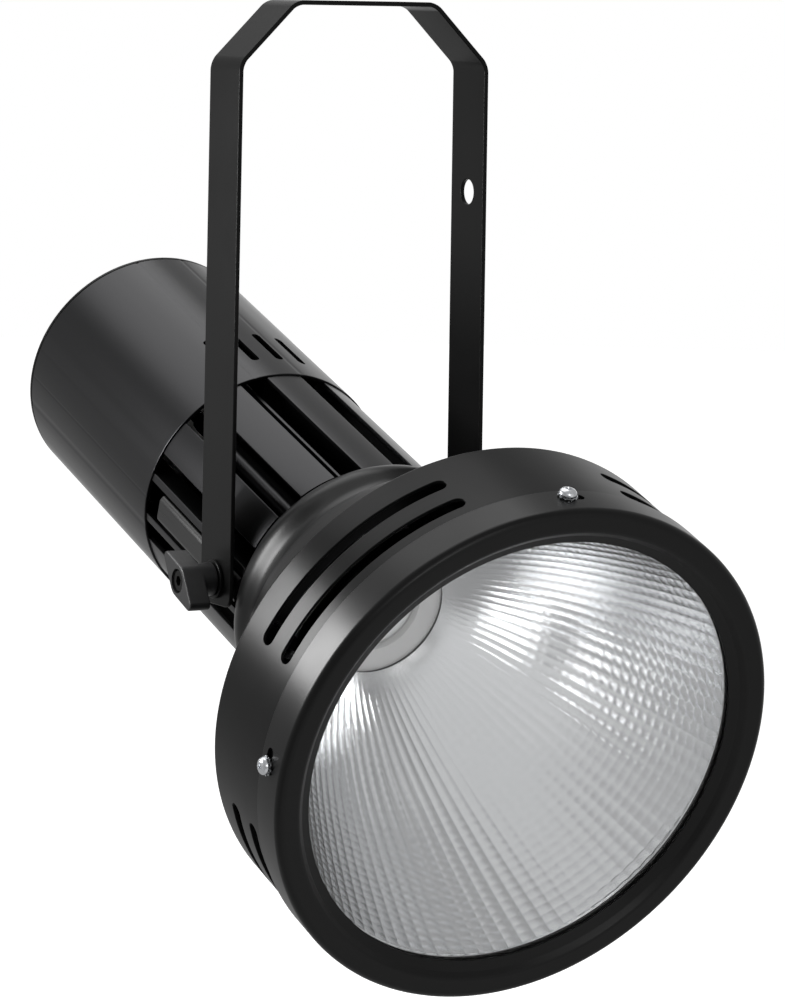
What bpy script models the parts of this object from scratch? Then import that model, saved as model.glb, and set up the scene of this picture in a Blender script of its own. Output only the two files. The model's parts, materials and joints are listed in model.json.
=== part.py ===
# LED spotlight: a finned lamp head with a bell and a slotted front ring, carried in a flat U-bracket.
# Metres, +Z up. The origin is the middle of the bracket's top face, and the lamp looks towards -Y.
# Stations along the lamp are given as distances behind its front plane.

import math

import bmesh
import bpy
from mathutils import Matrix, Vector

GAP = 0.0003  # left between pieces that touch

# Bracket: one flat steel strip, bent four times.
STRAP_WIDTH = 0.0285
STRAP_THICKNESS = 0.002
PIVOT_DROP = 0.2525  # top face down to the tilt axis
FOOT_LENGTH = 0.0113  # tilt axis down to the end of a leg
FOOT_CORNER = 0.005
CHAMFER_RUN = 0.027
CHAMFER_DROP = 0.027
BEND_RADIUS = 0.009
SWING_CLEARANCE = 0.0005  # between the sleeve and the legs at the top
CLAMP_HOLE_RADIUS = 0.00525
SAFETY_HOLE_RADIUS = 0.0056
SAFETY_HOLE_HEIGHT = 0.1686  # above the tilt axis, in one leg only

# Lamp as a whole.
TILT = math.radians(19.3)  # how far the lamp looks below the horizontal
PIVOT_STATION = 0.175
HEAD_SEGMENTS = 36

# Front bezel, a cap that slips over the ring housing.
BEZEL_RADIUS = 0.115
BEZEL_WALL = 0.0012
BEZEL_SKIRT = 0.019
BEZEL_EDGE = 0.0035
BEZEL_FACE_WIDTH = 0.0123  # flat face, from the outside in to the bend
BEZEL_BEND_STATION = 0.0024
BEZEL_LIP_WIDTH = 0.0041  # from the bend in to the opening
OPENING_STATION = 0.0046

# Ring housing with two rows of long air slots.
RING_WALL = 0.0015
RING_FRONT = 0.008
RING_BACK = 0.065
RING_CORNER = 0.0015
RING_LIP_WIDTH = 0.0125
AIR_SLOT_STATIONS = (0.0298, 0.0465)
AIR_SLOT_WIDTH = 0.0071
AIR_SLOT_SPAN = math.radians(51.5)
AIR_SLOT_COUNT = 4

# Bezel screws, each at one end of a short slot.
BEZEL_SCREW_COUNT = 4
BEZEL_SCREW_STATION = 0.013
BEZEL_SLOT_LENGTH = 0.0102
BEZEL_SLOT_WIDTH = 0.0046
BEZEL_SCREW_LENGTH = 0.0042
SCREW_RADIUS = 0.002
SCREW_HEAD_RADIUS = 0.0038
SCREW_HEAD_HEIGHT = 0.0026
STAR_WASHER_RADIUS = 0.0043
STAR_WASHER_THICKNESS = 0.0007
STAR_WASHER_TEETH = 8

# Glass, its seal and the ring that the reflector sits on.
GLASS_OVERLAP = 0.0059  # of the glass behind the bezel's lip
GLASS_THICKNESS = 0.0032
SEAL_THICKNESS = 0.001
SEAL_WIDTH = 0.0045
SUPPORT_RING_THICKNESS = 0.0012
SUPPORT_RING_DEPTH = 0.009
SUPPORT_RING_WIDTH = 0.0095

# Reflector.
REFLECTOR_MOUTH_MARGIN = 0.0004  # beyond the bezel's opening
REFLECTOR_FLANGE_WIDTH = 0.007
REFLECTOR_BASE_RADIUS = 0.0305
REFLECTOR_BASE_STATION = 0.138
REFLECTOR_WALL = 0.0009
REFLECTOR_RINGS = 5

# Bell behind the ring.
BELL_WALL = 0.0015
BELL_FLANGE_CLEARANCE = 0.004  # inside the ring housing
BELL_STEP_RADIUS = 0.075
BELL_STEP_STATION = 0.119
BELL_STEP = 0.0008
BELL_FLARE_SLOPE = 0.3  # just ahead of the step; the flare opens wider from there to the ring
BELL_NECK_RADIUS = 0.0651
BELL_NECK_STATION = 0.1355
BELL_BACK_STATION = 0.1604
BELL_SHOULDER = 0.0138
BELL_SCREW_COUNT = 4
BELL_SCREW_INSET = 0.003  # from the edge of the bell's flange
BELL_SCREW_ANGLE = math.radians(67.5)
BELL_SCREW_RADIUS = 0.0015
BELL_SCREW_LENGTH = 0.0145
BELL_SCREW_HEAD_RADIUS = 0.0029
BELL_SCREW_HEAD_HEIGHT = 0.0022

# Heatsink extrusion: a core, twelve stations of fins, two of them slide channels.
SINK_RADIUS = 0.0585
SINK_CORE_RADIUS = 0.021
SINK_BACK_STATION = 0.272
SINK_FIN_COUNT = 12
SINK_FIN_THICKNESS = 0.0022
SINK_FLANGE_THICKNESS = 0.0022
SINK_FLANGE_HALF_ANGLE = math.radians(8.5)
SINK_SHORT_FIN_DROP = 0.0065  # below the heatsink's surface
SINK_LOW_FIN_DROP = 0.008  # below the floor of the channel that the fin stands beside
SINK_FIN_TAPER = 1.25  # thickness of a fin at its root over that at its tip
SINK_SHORT_FIN_THICKNESS = 0.0018
SINK_PORT_DROP = 0.0165  # below the heatsink's surface
SINK_PORT_RADIUS = 0.0045
SINK_PORT_HOLE_RADIUS = 0.0024
CHANNEL_HALF_WIDTH = 0.010
CHANNEL_WALL = 0.0017
CHANNEL_DEPTH = 0.0105
CHANNEL_FLOOR_THICKNESS = 0.002
CHANNEL_OPENING_HALF = 0.0081
CHANNEL_STEM_HALF = 0.003

# Rear sleeve round the driver, its cover and the rods that clamp them.
SLEEVE_RADIUS = 0.0593
SLEEVE_WALL = 0.0018
SLEEVE_OVERLAP = 0.014  # of the sleeve over the back of the heatsink
COVER_THICKNESS = 0.002
COVER_RIM_DEPTH = 0.007
COVER_RIM_WALL = 0.0015
VENT_COUNT = 4
VENT_PITCH = math.radians(12)
VENT_WIDTH = 0.0042
VENT_LENGTH = 0.0287
VENT_SET_BACK = 0.0306  # from the sleeve's front edge
TIE_ROD_RADIUS = 0.0032

# Driver and its plate.
DRIVER_LENGTH = 0.088
DRIVER_WIDTH = 0.052
DRIVER_HEIGHT = 0.034
DRIVER_STAND_OFF = 0.010  # from the back of the heatsink
DRIVER_BACK_ROOM = 0.024  # from the driver to the back of the lamp
DRIVER_FLAP_HEIGHT = 0.020
PLATE_THICKNESS = 0.0015

# Light source, from the heatsink forwards.
SPREADER_INSET = 0.007  # from the circle of the neck screws
SPREADER_FRONT_STATION = 0.1462
BOARD_SIDE = 0.040
BOARD_THICKNESS = 0.0015
EMITTER_RADIUS = 0.0195
EMITTER_THICKNESS = 0.0008
HOLDER_RADIUS = 0.0283
HOLDER_HEIGHT = 0.0042
HOLDER_BORE = 0.0205
LEAD_RADIUS = 0.0022
LEAD_INSET = 0.0015  # from the circle of the neck screws
LEAD_SWEEP = 0.016  # length of its bend behind the heatsink
LEAD_RUN_OUT = 0.012  # length of its bend ahead of the heatsink
LEAD_START_RADIUS = 0.010
LEAD_ANGLE = math.radians(67.5)  # in the middle of a gap between two fins
LEAD_HOLE_RADIUS = 0.0032

# Pivots: slide nut, toothed washer, leg, plain washer and wing knob on one screw.
PIVOT_SCREW_RADIUS = 0.004
RUNNING_CLEARANCE = 0.0004
SLIDE_NUT_FRONT_STATION = 0.1625
SLIDE_NUT_BACK_STATION = 0.245
SLIDE_NUT_NECK_HALF = 0.0066
SLIDE_NUT_FLANGE = 0.0052
SLIDE_NUT_PROUD = 0.0005  # above the heatsink's surface
PIVOT_WASHER_RADIUS = 0.0078
PIVOT_WASHER_THICKNESS = 0.0014
PIVOT_WASHER_TEETH = 12
KNOB_WASHER_RADIUS = 0.0085
KNOB_WASHER_THICKNESS = 0.0015
KNOB_HEIGHT = 0.0166
KNOB_WING_THICKNESS = 0.010
KNOB_HUB_RADIUS = 0.0073
KNOB_WING_LENGTH = 0.0335
KNOB_TIP_RADIUS = 0.0026
KNOB_RECESS_RADIUS = 0.0054
KNOB_RECESS_DEPTH = 0.0036
KNOB_SCREW_HEAD_RADIUS = 0.0048
KNOB_SCREW_HEAD_HEIGHT = 0.0026
KNOB_WING_ANGLE = math.radians(-21.5)  # from the line of the lamp

# Cable gland in the rear cover.
GLAND_THREAD_RADIUS = 0.008
GLAND_BORE_RADIUS = 0.0045
GLAND_HEX_RADIUS = 0.0115
GLAND_HEX_THICKNESS = 0.005
GLAND_NECK_LENGTH = 0.006
GLAND_NUT_RADIUS = 0.0107
GLAND_NUT_LENGTH = 0.013
GLAND_LOCKNUT_THICKNESS = 0.004
GLAND_SEAL_RADIUS = 0.0068
GLAND_SEAL_BORE_RADIUS = 0.0035
GLAND_DROP = 0.028  # below the lamp's axis

# Sizes that follow from the ones above.
RING_RADIUS = BEZEL_RADIUS - BEZEL_WALL - GAP
RING_BORE = RING_RADIUS - RING_WALL
RING_LIP_RADIUS = RING_RADIUS - RING_LIP_WIDTH
BEZEL_BEND_RADIUS = BEZEL_RADIUS - BEZEL_FACE_WIDTH
OPENING_RADIUS = BEZEL_BEND_RADIUS - BEZEL_LIP_WIDTH
GLASS_RADIUS = OPENING_RADIUS + GLASS_OVERLAP
GLASS_FRONT = OPENING_STATION + BEZEL_WALL + GAP
GLASS_BACK = GLASS_FRONT + GLASS_THICKNESS
SEAL_FRONT = GLASS_BACK + GAP
SEAL_BACK = SEAL_FRONT + SEAL_THICKNESS
FLANGE_FRONT = SEAL_BACK + GAP
FLANGE_BACK = FLANGE_FRONT + REFLECTOR_WALL
SUPPORT_FRONT = FLANGE_BACK + GAP
REFLECTOR_MOUTH_RADIUS = OPENING_RADIUS + REFLECTOR_MOUTH_MARGIN
REFLECTOR_FLANGE_RADIUS = REFLECTOR_MOUTH_RADIUS + REFLECTOR_FLANGE_WIDTH
BELL_FLANGE_RADIUS = RING_BORE - BELL_FLANGE_CLEARANCE
BELL_SCREW_CIRCLE = BELL_FLANGE_RADIUS - BELL_SCREW_INSET
BELL_FLANGE_BACK = RING_BACK - RING_WALL - GAP
BELL_FLANGE_FRONT = BELL_FLANGE_BACK - BELL_WALL
BELL_THROAT_RADIUS = RING_LIP_RADIUS - 2 * GAP
SINK_FRONT_STATION = BELL_BACK_STATION + GAP
SINK_SHORT_FIN_RADIUS = SINK_RADIUS - SINK_SHORT_FIN_DROP
SINK_PORT_CIRCLE = SINK_RADIUS - SINK_PORT_DROP
CHANNEL_FLOOR_RADIUS = SINK_RADIUS - CHANNEL_DEPTH
SINK_LOW_FIN_RADIUS = CHANNEL_FLOOR_RADIUS - SINK_LOW_FIN_DROP
SPREADER_RADIUS = SINK_PORT_CIRCLE - SPREADER_INSET
LEAD_CIRCLE = SINK_PORT_CIRCLE - LEAD_INSET
SPIGOT_RADIUS = SLEEVE_RADIUS - SLEEVE_WALL - GAP
SLEEVE_FRONT_STATION = SINK_BACK_STATION - SLEEVE_OVERLAP
VENT_STATION = SLEEVE_FRONT_STATION + VENT_SET_BACK
REAR_STATION = SINK_BACK_STATION + DRIVER_STAND_OFF + DRIVER_LENGTH + DRIVER_BACK_ROOM
COVER_FRONT = REAR_STATION - COVER_THICKNESS
SLEEVE_BACK = COVER_FRONT - GAP
NUT_TOP = SINK_RADIUS + SLIDE_NUT_PROUD
PIVOT_WASHER_INNER = NUT_TOP + GAP
LEG_INNER_PIVOT = PIVOT_WASHER_INNER + PIVOT_WASHER_THICKNESS + GAP
LEG_INNER_TOP = SLEEVE_RADIUS + SWING_CLEARANCE
LEG_OUTER_PIVOT = LEG_INNER_PIVOT + STRAP_THICKNESS
KNOB_WASHER_INNER = LEG_OUTER_PIVOT + GAP
KNOB_INNER = KNOB_WASHER_INNER + KNOB_WASHER_THICKNESS + GAP
KNOB_FACE = KNOB_INNER + KNOB_HEIGHT
PIVOT_HOLE_RADIUS = PIVOT_SCREW_RADIUS + RUNNING_CLEARANCE

COLOURS = {
    "steel_black": ((0.022, 0.022, 0.023), 0.42, 0.0),
    "anodised_black": ((0.030, 0.030, 0.031), 0.38, 0.6),
    "zinc": ((0.62, 0.62, 0.63), 0.28, 1.0),
    "steel_blued": ((0.09, 0.09, 0.095), 0.35, 1.0),
    "plastic_black": ((0.018, 0.018, 0.018), 0.5, 0.0),
    "rubber_black": ((0.015, 0.015, 0.015), 0.8, 0.0),
    "mirror_metal": ((0.85, 0.85, 0.86), 0.12, 1.0),
    "glass_clear": ((0.92, 0.94, 0.94), 0.03, 0.0),
    "aluminium_plain": ((0.60, 0.60, 0.61), 0.35, 1.0),
    "plastic_white": ((0.72, 0.72, 0.70), 0.45, 0.0),
    "emitter_pale": ((0.70, 0.69, 0.62), 0.5, 0.0),
    "driver_white": ((0.62, 0.62, 0.60), 0.5, 0.0),
    "lead_sleeve": ((0.05, 0.05, 0.05), 0.55, 0.0),
}


def clear_scene():
    for obj in list(bpy.data.objects):
        bpy.data.objects.remove(obj, do_unlink=True)


def new_collection(name):
    made = bpy.data.collections.new(name)
    bpy.context.scene.collection.children.link(made)
    return made


clear_scene()
parts = new_collection("led_spotlight")
cutters = new_collection("cutters")

tilt_axis = bpy.data.objects.new("tilt_axis", None)
tilt_axis.location = (0, 0, -PIVOT_DROP)
# Local Z looks along the lamp, local X along the tilt axis, local Y up from the lamp.
tilt_axis.rotation_euler = (math.radians(90) + TILT, 0, 0)
parts.objects.link(tilt_axis)

knob_axes = {}
for side, turn in (("right", 0.0), ("left", math.pi)):
    axis = bpy.data.objects.new("knob_axis_" + side, None)
    axis.parent = tilt_axis
    # Local Z points out of the lamp along the tilt axis.
    axis.matrix_local = Matrix.Rotation(turn, 4, "Z") @ Matrix.Rotation(math.radians(90), 4, "Y")
    parts.objects.link(axis)
    knob_axes[side] = axis


def finish(obj, colour, parent=None, smooth=True):
    """Put an object in the parts collection with a material of its own."""
    shade, roughness, metallic = COLOURS[colour]
    material = bpy.data.materials.new(obj.name + "_" + colour)
    material.use_nodes = True
    shader = material.node_tree.nodes["Principled BSDF"]
    shader.inputs["Base Color"].default_value = (*shade, 1)
    shader.inputs["Roughness"].default_value = roughness
    shader.inputs["Metallic"].default_value = metallic
    obj.data.materials.clear()
    obj.data.materials.append(material)
    obj.parent = parent
    parts.objects.link(obj)
    if smooth:
        obj.data.shade_smooth()
        obj.data.set_sharp_from_angle(angle=math.radians(30))
    return obj


def as_cutter(obj, parent=None):
    obj.parent = parent
    obj.hide_render = True
    obj.display_type = "WIRE"
    cutters.objects.link(obj)
    return obj


def boolean(obj, other, operation="DIFFERENCE"):
    modifier = obj.modifiers.new(operation.lower() + "_" + other.name, "BOOLEAN")
    modifier.operation = operation
    modifier.solver = "EXACT"
    modifier.object = other


def height(station):
    """Local Z of a station on the lamp."""
    return PIVOT_STATION - station


def turned(name, profile, segments=HEAD_SEGMENTS, closed=True):
    """Turn (radius, z) points round local Z. The outer side of a profile runs down."""
    mesh = bpy.data.meshes.new(name)
    points = [(radius, 0, z) for radius, z in profile]
    edges = [(i, i + 1) for i in range(len(points) - 1)]
    if closed:
        edges.append((len(points) - 1, 0))
    mesh.from_pydata(points, edges, [])
    obj = bpy.data.objects.new(name, mesh)
    screw = obj.modifiers.new("turn", "SCREW")
    screw.steps = segments
    screw.render_steps = segments
    screw.use_merge_vertices = True
    screw.merge_threshold = 0.00001
    return obj


def lamp_turned(name, profile, segments=HEAD_SEGMENTS):
    """Turn (radius, station) points, a closed outline, round the lamp's axis."""
    return turned(name, [(radius, height(station)) for radius, station in profile], segments)


def prism(name, outlines, thickness, middle=0.0):
    """Flat outlines, the first with the others as holes, thickened along local Z about a middle height."""
    curve = bpy.data.curves.new(name, "CURVE")
    curve.dimensions = "2D"
    curve.fill_mode = "BOTH"
    curve.extrude = thickness / 2
    for outline in outlines:
        spline = curve.splines.new("POLY")
        spline.points.add(len(outline) - 1)
        for point, (x, y) in zip(spline.points, outline):
            point.co = (x, y, 0, 1)
        spline.use_cyclic_u = True
    guide = bpy.data.objects.new(name + "_outline", curve)
    bpy.context.scene.collection.objects.link(guide)
    bpy.context.view_layer.update()
    mesh = bpy.data.meshes.new_from_object(guide.evaluated_get(bpy.context.evaluated_depsgraph_get()))
    bpy.data.objects.remove(guide)
    welded = bmesh.new()
    welded.from_mesh(mesh)
    bmesh.ops.remove_doubles(welded, verts=welded.verts, dist=0.000001)
    bmesh.ops.translate(welded, verts=welded.verts, vec=(0, 0, middle))
    bmesh.ops.recalc_face_normals(welded, faces=welded.faces)
    welded.to_mesh(mesh)
    welded.free()
    return bpy.data.objects.new(name, mesh)


def cylinder(name, radius, low, high, segments=24):
    mesh = bpy.data.meshes.new(name)
    shape = bmesh.new()
    bmesh.ops.create_cone(
        shape, cap_ends=True, segments=segments, radius1=radius, radius2=radius, depth=high - low
    )
    bmesh.ops.translate(shape, verts=shape.verts, vec=(0, 0, (low + high) / 2))
    shape.to_mesh(mesh)
    shape.free()
    return bpy.data.objects.new(name, mesh)


def box(name, size, centre):
    mesh = bpy.data.meshes.new(name)
    shape = bmesh.new()
    bmesh.ops.create_cube(shape, size=1)
    bmesh.ops.scale(shape, verts=shape.verts, vec=size)
    bmesh.ops.translate(shape, verts=shape.verts, vec=centre)
    shape.to_mesh(mesh)
    shape.free()
    return bpy.data.objects.new(name, mesh)


def arc(centre, radius, start, end, steps):
    """Points on a circle from one angle to another, both ends included."""
    angles = [start + (end - start) * i / steps for i in range(steps + 1)]
    return [(centre[0] + radius * math.cos(a), centre[1] + radius * math.sin(a)) for a in angles]


def circle(radius, steps, centre=(0, 0)):
    return arc(centre, radius, 0, 2 * math.pi, steps)[:-1]


def star(outer, teeth, bite):
    """Outline of a toothed washer, each tooth with a flat tip."""
    outline = []
    for i in range(teeth):
        for share, radius in ((-0.34, outer - bite), (-0.2, outer), (0.2, outer), (0.34, outer - bite)):
            angle = 2 * math.pi * (i + share) / teeth
            outline.append((radius * math.cos(angle), radius * math.sin(angle)))
    return outline


def outwards(angle):
    """Matrix in the lamp's frame whose local Z points out at an angle, and local X along the lamp."""
    return Matrix.Rotation(angle, 4, "Z") @ Matrix.Rotation(math.radians(90), 4, "Y")


def screw_profile(shank_radius, shank_length, head_radius, head_height):
    """Pan-head screw standing on z = 0, its shank below."""
    return [
        (0, head_height),
        (head_radius * 0.7, head_height * 0.88),
        (head_radius, head_height * 0.3),
        (head_radius, 0),
        (shank_radius, 0),
        (shank_radius, -shank_length),
        (0, -shank_length),
    ]


def offset_path(points, distance):
    """Move a polyline of (x, z) points sideways, to the right of its direction."""
    lines = []
    for a, b in zip(points, points[1:]):
        along = (Vector(b) - Vector(a)).normalized()
        side = Vector((along.y, -along.x)) * distance
        lines.append((Vector(a) + side, along))
    moved = [lines[0][0]]
    for (a, u), (b, v) in zip(lines, lines[1:]):
        t = (b - a).cross(v) / u.cross(v)
        moved.append(a + u * t)
    moved.append(Vector(points[-1]) + Vector((lines[-1][1].y, -lines[-1][1].x)) * distance)
    return [tuple(p) for p in moved]


def rounded_path(points, radius, steps=4):
    """Replace each inner corner of a polyline with an arc."""
    path = [points[0]]
    for a, b, c in zip(points, points[1:], points[2:]):
        before = (Vector(a) - Vector(b)).normalized()
        after = (Vector(c) - Vector(b)).normalized()
        half = before.angle(after) / 2
        reach = radius / math.tan(half)
        middle = Vector(b) + (before + after).normalized() * (radius / math.sin(half))
        start = Vector(b) + before * reach - middle
        turn = start.angle_signed(Vector(b) + after * reach - middle)
        for i in range(steps + 1):
            spoke = start.copy()
            spoke.rotate(Matrix.Rotation(-turn * i / steps, 2))
            path.append(tuple(middle + spoke))
    path.append(points[-1])
    return path


def make_bracket():
    foot = -(PIVOT_DROP + FOOT_LENGTH)
    rise = PIVOT_DROP - CHAMFER_DROP
    top_half = LEG_INNER_TOP + STRAP_THICKNESS
    slope = (LEG_OUTER_PIVOT - top_half) / rise
    foot_half = LEG_OUTER_PIVOT + slope * FOOT_LENGTH
    right = [(foot_half, foot), (top_half, -CHAMFER_DROP), (top_half - CHAMFER_RUN, 0)]
    outer = [(-x, z) for x, z in right] + right[::-1]
    inner = offset_path(outer, STRAP_THICKNESS)
    outline = rounded_path(outer, BEND_RADIUS) + rounded_path(inner, BEND_RADIUS - STRAP_THICKNESS)[::-1]
    strap = prism("yoke_bracket", [outline], STRAP_WIDTH)
    strap.data.transform(Matrix.Rotation(math.radians(90), 4, "X"))

    half = STRAP_WIDTH / 2
    reach = 2 * foot_half
    side_view = (
        arc((-half + FOOT_CORNER, foot + FOOT_CORNER), FOOT_CORNER, math.pi, 1.5 * math.pi, 5)
        + arc((half - FOOT_CORNER, foot + FOOT_CORNER), FOOT_CORNER, 1.5 * math.pi, 2 * math.pi, 5)
        + [(half, 2 * STRAP_THICKNESS), (-half, 2 * STRAP_THICKNESS)]
    )
    side = prism("foot_outline", [side_view], 2 * reach)
    side.data.transform(Matrix.Rotation(math.radians(90), 4, "Z") @ Matrix.Rotation(math.radians(90), 4, "X"))
    side.data.transform(Matrix.Scale(1.001, 4, (0, 1, 0)))
    boolean(strap, as_cutter(side), "INTERSECT")

    holes = (
        ("pivot_holes", PIVOT_HOLE_RADIUS, -reach, reach, -PIVOT_DROP),
        ("safety_hole", SAFETY_HOLE_RADIUS, 0, reach, SAFETY_HOLE_HEIGHT - PIVOT_DROP),
    )
    for name, radius, low, high, z in holes:
        hole = cylinder(name, radius, low, high, 20)
        hole.data.transform(Matrix.Translation((0, 0, z)) @ Matrix.Rotation(math.radians(90), 4, "Y"))
        boolean(strap, as_cutter(hole))
    clamp_hole = cylinder("clamp_hole", CLAMP_HOLE_RADIUS, -2 * STRAP_THICKNESS, STRAP_THICKNESS, 20)
    boolean(strap, as_cutter(clamp_hole))
    finish(strap, "steel_black")


def bent_slot(name, radius, depth, station, width, start, end, columns):
    """Cutter for a round-ended slot that runs round the lamp, from one angle to another."""
    half = width / 2
    length = (end - start) * radius
    places = [(half * (1 - math.cos(a)), half * math.sin(a)) for a in (0, 0.35, 0.8, 1.2, math.pi / 2)]
    middle = [half + (length - width) * i / columns for i in range(1, columns)]
    stations = places + [(s, half) for s in middle] + [(length - s, w) for s, w in reversed(places)]
    shape = bmesh.new()
    bmesh.ops.create_grid(shape, x_segments=len(stations) - 1, y_segments=1, size=1)
    for vert in shape.verts:
        column = round((vert.co.x + 1) / 2 * (len(stations) - 1))
        along, across = stations[column]
        angle = start + along / radius
        side = across if vert.co.y > 0 else -across
        vert.co = (
            (radius - depth) * math.cos(angle),
            (radius - depth) * math.sin(angle),
            height(station) + side,
        )
    bmesh.ops.remove_doubles(shape, verts=shape.verts, dist=0.00001)
    grown = bmesh.ops.extrude_face_region(shape, geom=shape.faces[:])
    for vert in [item for item in grown["geom"] if isinstance(item, bmesh.types.BMVert)]:
        out = Vector((vert.co.x, vert.co.y, 0)).normalized()
        vert.co += out * 2 * depth
    bmesh.ops.recalc_face_normals(shape, faces=shape.faces)
    mesh = bpy.data.meshes.new(name)
    shape.to_mesh(mesh)
    shape.free()
    return as_cutter(bpy.data.objects.new(name, mesh), tilt_axis)


def make_bezel():
    edge = arc(
        (BEZEL_RADIUS - BEZEL_EDGE, BEZEL_EDGE), BEZEL_EDGE, -math.pi / 2, 0, 3
    )
    inner_edge = arc(
        (BEZEL_RADIUS - BEZEL_EDGE, BEZEL_EDGE), BEZEL_EDGE - BEZEL_WALL, 0, -math.pi / 2, 3
    )
    profile = (
        [(OPENING_RADIUS, OPENING_STATION), (BEZEL_BEND_RADIUS, BEZEL_BEND_STATION)]
        + edge
        + [(BEZEL_RADIUS, BEZEL_SKIRT), (BEZEL_RADIUS - BEZEL_WALL, BEZEL_SKIRT)]
        + inner_edge
        + [
            (BEZEL_BEND_RADIUS, BEZEL_BEND_STATION + BEZEL_WALL),
            (OPENING_RADIUS, OPENING_STATION + BEZEL_WALL),
        ]
    )
    bezel = lamp_turned("front_bezel", profile)
    for i in range(BEZEL_SCREW_COUNT):
        screw_angle = 2 * math.pi * i / BEZEL_SCREW_COUNT
        lead = BEZEL_SLOT_WIDTH / 2 / BEZEL_RADIUS
        slot = bent_slot(
            f"bezel_slot_{i + 1}", BEZEL_RADIUS, 2 * BEZEL_WALL, BEZEL_SCREW_STATION, BEZEL_SLOT_WIDTH,
            screw_angle + lead - BEZEL_SLOT_LENGTH / BEZEL_RADIUS, screw_angle + lead, 2,
        )
        boolean(bezel, slot)
    finish(bezel, "steel_black", tilt_axis)


def make_ring():
    profile = [
        (RING_BORE, RING_FRONT),
        (RING_RADIUS, RING_FRONT),
        (RING_RADIUS, RING_BACK - RING_CORNER),
        (RING_RADIUS - RING_CORNER, RING_BACK),
        (RING_LIP_RADIUS, RING_BACK),
        (RING_LIP_RADIUS, RING_BACK - RING_WALL),
        (RING_BORE, RING_BACK - RING_WALL),
    ]
    ring = lamp_turned("ring_housing", profile)
    for row, station in enumerate(AIR_SLOT_STATIONS):
        for i in range(AIR_SLOT_COUNT):
            middle = 2 * math.pi * (i + 0.5) / AIR_SLOT_COUNT
            slot = bent_slot(
                f"air_slot_{row + 1}_{i + 1}", RING_RADIUS, 2 * RING_WALL, station, AIR_SLOT_WIDTH,
                middle - AIR_SLOT_SPAN / 2, middle + AIR_SLOT_SPAN / 2, 7,
            )
            boolean(ring, slot)
    for i in range(BEZEL_SCREW_COUNT):
        angle = 2 * math.pi * i / BEZEL_SCREW_COUNT
        hole = cylinder(
            f"ring_hole_{i + 1}", SCREW_RADIUS + GAP, RING_BORE - 0.002, RING_RADIUS + 0.002, 12
        )
        as_cutter(hole, tilt_axis)
        hole.matrix_local = Matrix.Translation((0, 0, height(BEZEL_SCREW_STATION))) @ outwards(angle)
        boolean(ring, hole)
    for i in range(BELL_SCREW_COUNT):
        hole = cylinder(
            f"lip_hole_{i + 1}", BELL_SCREW_RADIUS + GAP, height(RING_BACK) - 0.002, height(RING_BACK) + 0.004, 12
        )
        as_cutter(hole, tilt_axis).matrix_local = bell_screw_place(i)
        boolean(ring, hole)
    finish(ring, "steel_black", tilt_axis)


def bell_screw_place(i):
    angle = BELL_SCREW_ANGLE + 2 * math.pi * i / BELL_SCREW_COUNT
    return Matrix.Translation((BELL_SCREW_CIRCLE * math.cos(angle), BELL_SCREW_CIRCLE * math.sin(angle), 0))


def make_bezel_screws():
    for i in range(BEZEL_SCREW_COUNT):
        angle = 2 * math.pi * i / BEZEL_SCREW_COUNT
        place = Matrix.Translation((0, 0, height(BEZEL_SCREW_STATION))) @ outwards(angle)
        washer = prism(
            f"bezel_star_washer_{i + 1}",
            [
                star(STAR_WASHER_RADIUS, STAR_WASHER_TEETH, 0.0007),
                circle(SCREW_RADIUS + GAP, 12),
            ],
            STAR_WASHER_THICKNESS,
            BEZEL_RADIUS + GAP + STAR_WASHER_THICKNESS / 2,
        )
        finish(washer, "zinc", tilt_axis, smooth=False).matrix_local = place
        seat = BEZEL_RADIUS + 2 * GAP + STAR_WASHER_THICKNESS
        screw = turned(
            f"bezel_screw_{i + 1}",
            screw_profile(SCREW_RADIUS, BEZEL_SCREW_LENGTH, SCREW_HEAD_RADIUS, SCREW_HEAD_HEIGHT),
            12,
            closed=False,
        )
        screw.data.transform(Matrix.Translation((0, 0, seat)))
        finish(screw, "zinc", tilt_axis).matrix_local = place


def make_glass():
    glass = cylinder("front_glass", GLASS_RADIUS, height(GLASS_BACK), height(GLASS_FRONT), HEAD_SEGMENTS)
    finish(glass, "glass_clear", tilt_axis)
    inner = GLASS_RADIUS - SEAL_WIDTH
    seal = lamp_turned(
        "glass_seal",
        [(inner, SEAL_FRONT), (GLASS_RADIUS, SEAL_FRONT), (GLASS_RADIUS, SEAL_BACK), (inner, SEAL_BACK)],
    )
    finish(seal, "rubber_black", tilt_axis)
    outer = RING_BORE - GAP
    support = lamp_turned(
        "reflector_support_ring",
        [
            (outer - SUPPORT_RING_WIDTH, SUPPORT_FRONT),
            (outer, SUPPORT_FRONT),
            (outer, SUPPORT_FRONT + SUPPORT_RING_DEPTH),
            (outer - SUPPORT_RING_THICKNESS, SUPPORT_FRONT + SUPPORT_RING_DEPTH),
            (outer - SUPPORT_RING_THICKNESS, SUPPORT_FRONT + SUPPORT_RING_THICKNESS),
            (outer - SUPPORT_RING_WIDTH, SUPPORT_FRONT + SUPPORT_RING_THICKNESS),
        ],
    )
    finish(support, "aluminium_plain", tilt_axis)


def reflector_radius(station):
    """Inner radius of the reflector: its square grows evenly towards the mouth, as in a parabola."""
    share = (REFLECTOR_BASE_STATION - station) / (REFLECTOR_BASE_STATION - FLANGE_BACK)
    base = REFLECTOR_BASE_RADIUS**2
    return math.sqrt(base + (REFLECTOR_MOUTH_RADIUS**2 - base) * share)


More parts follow.
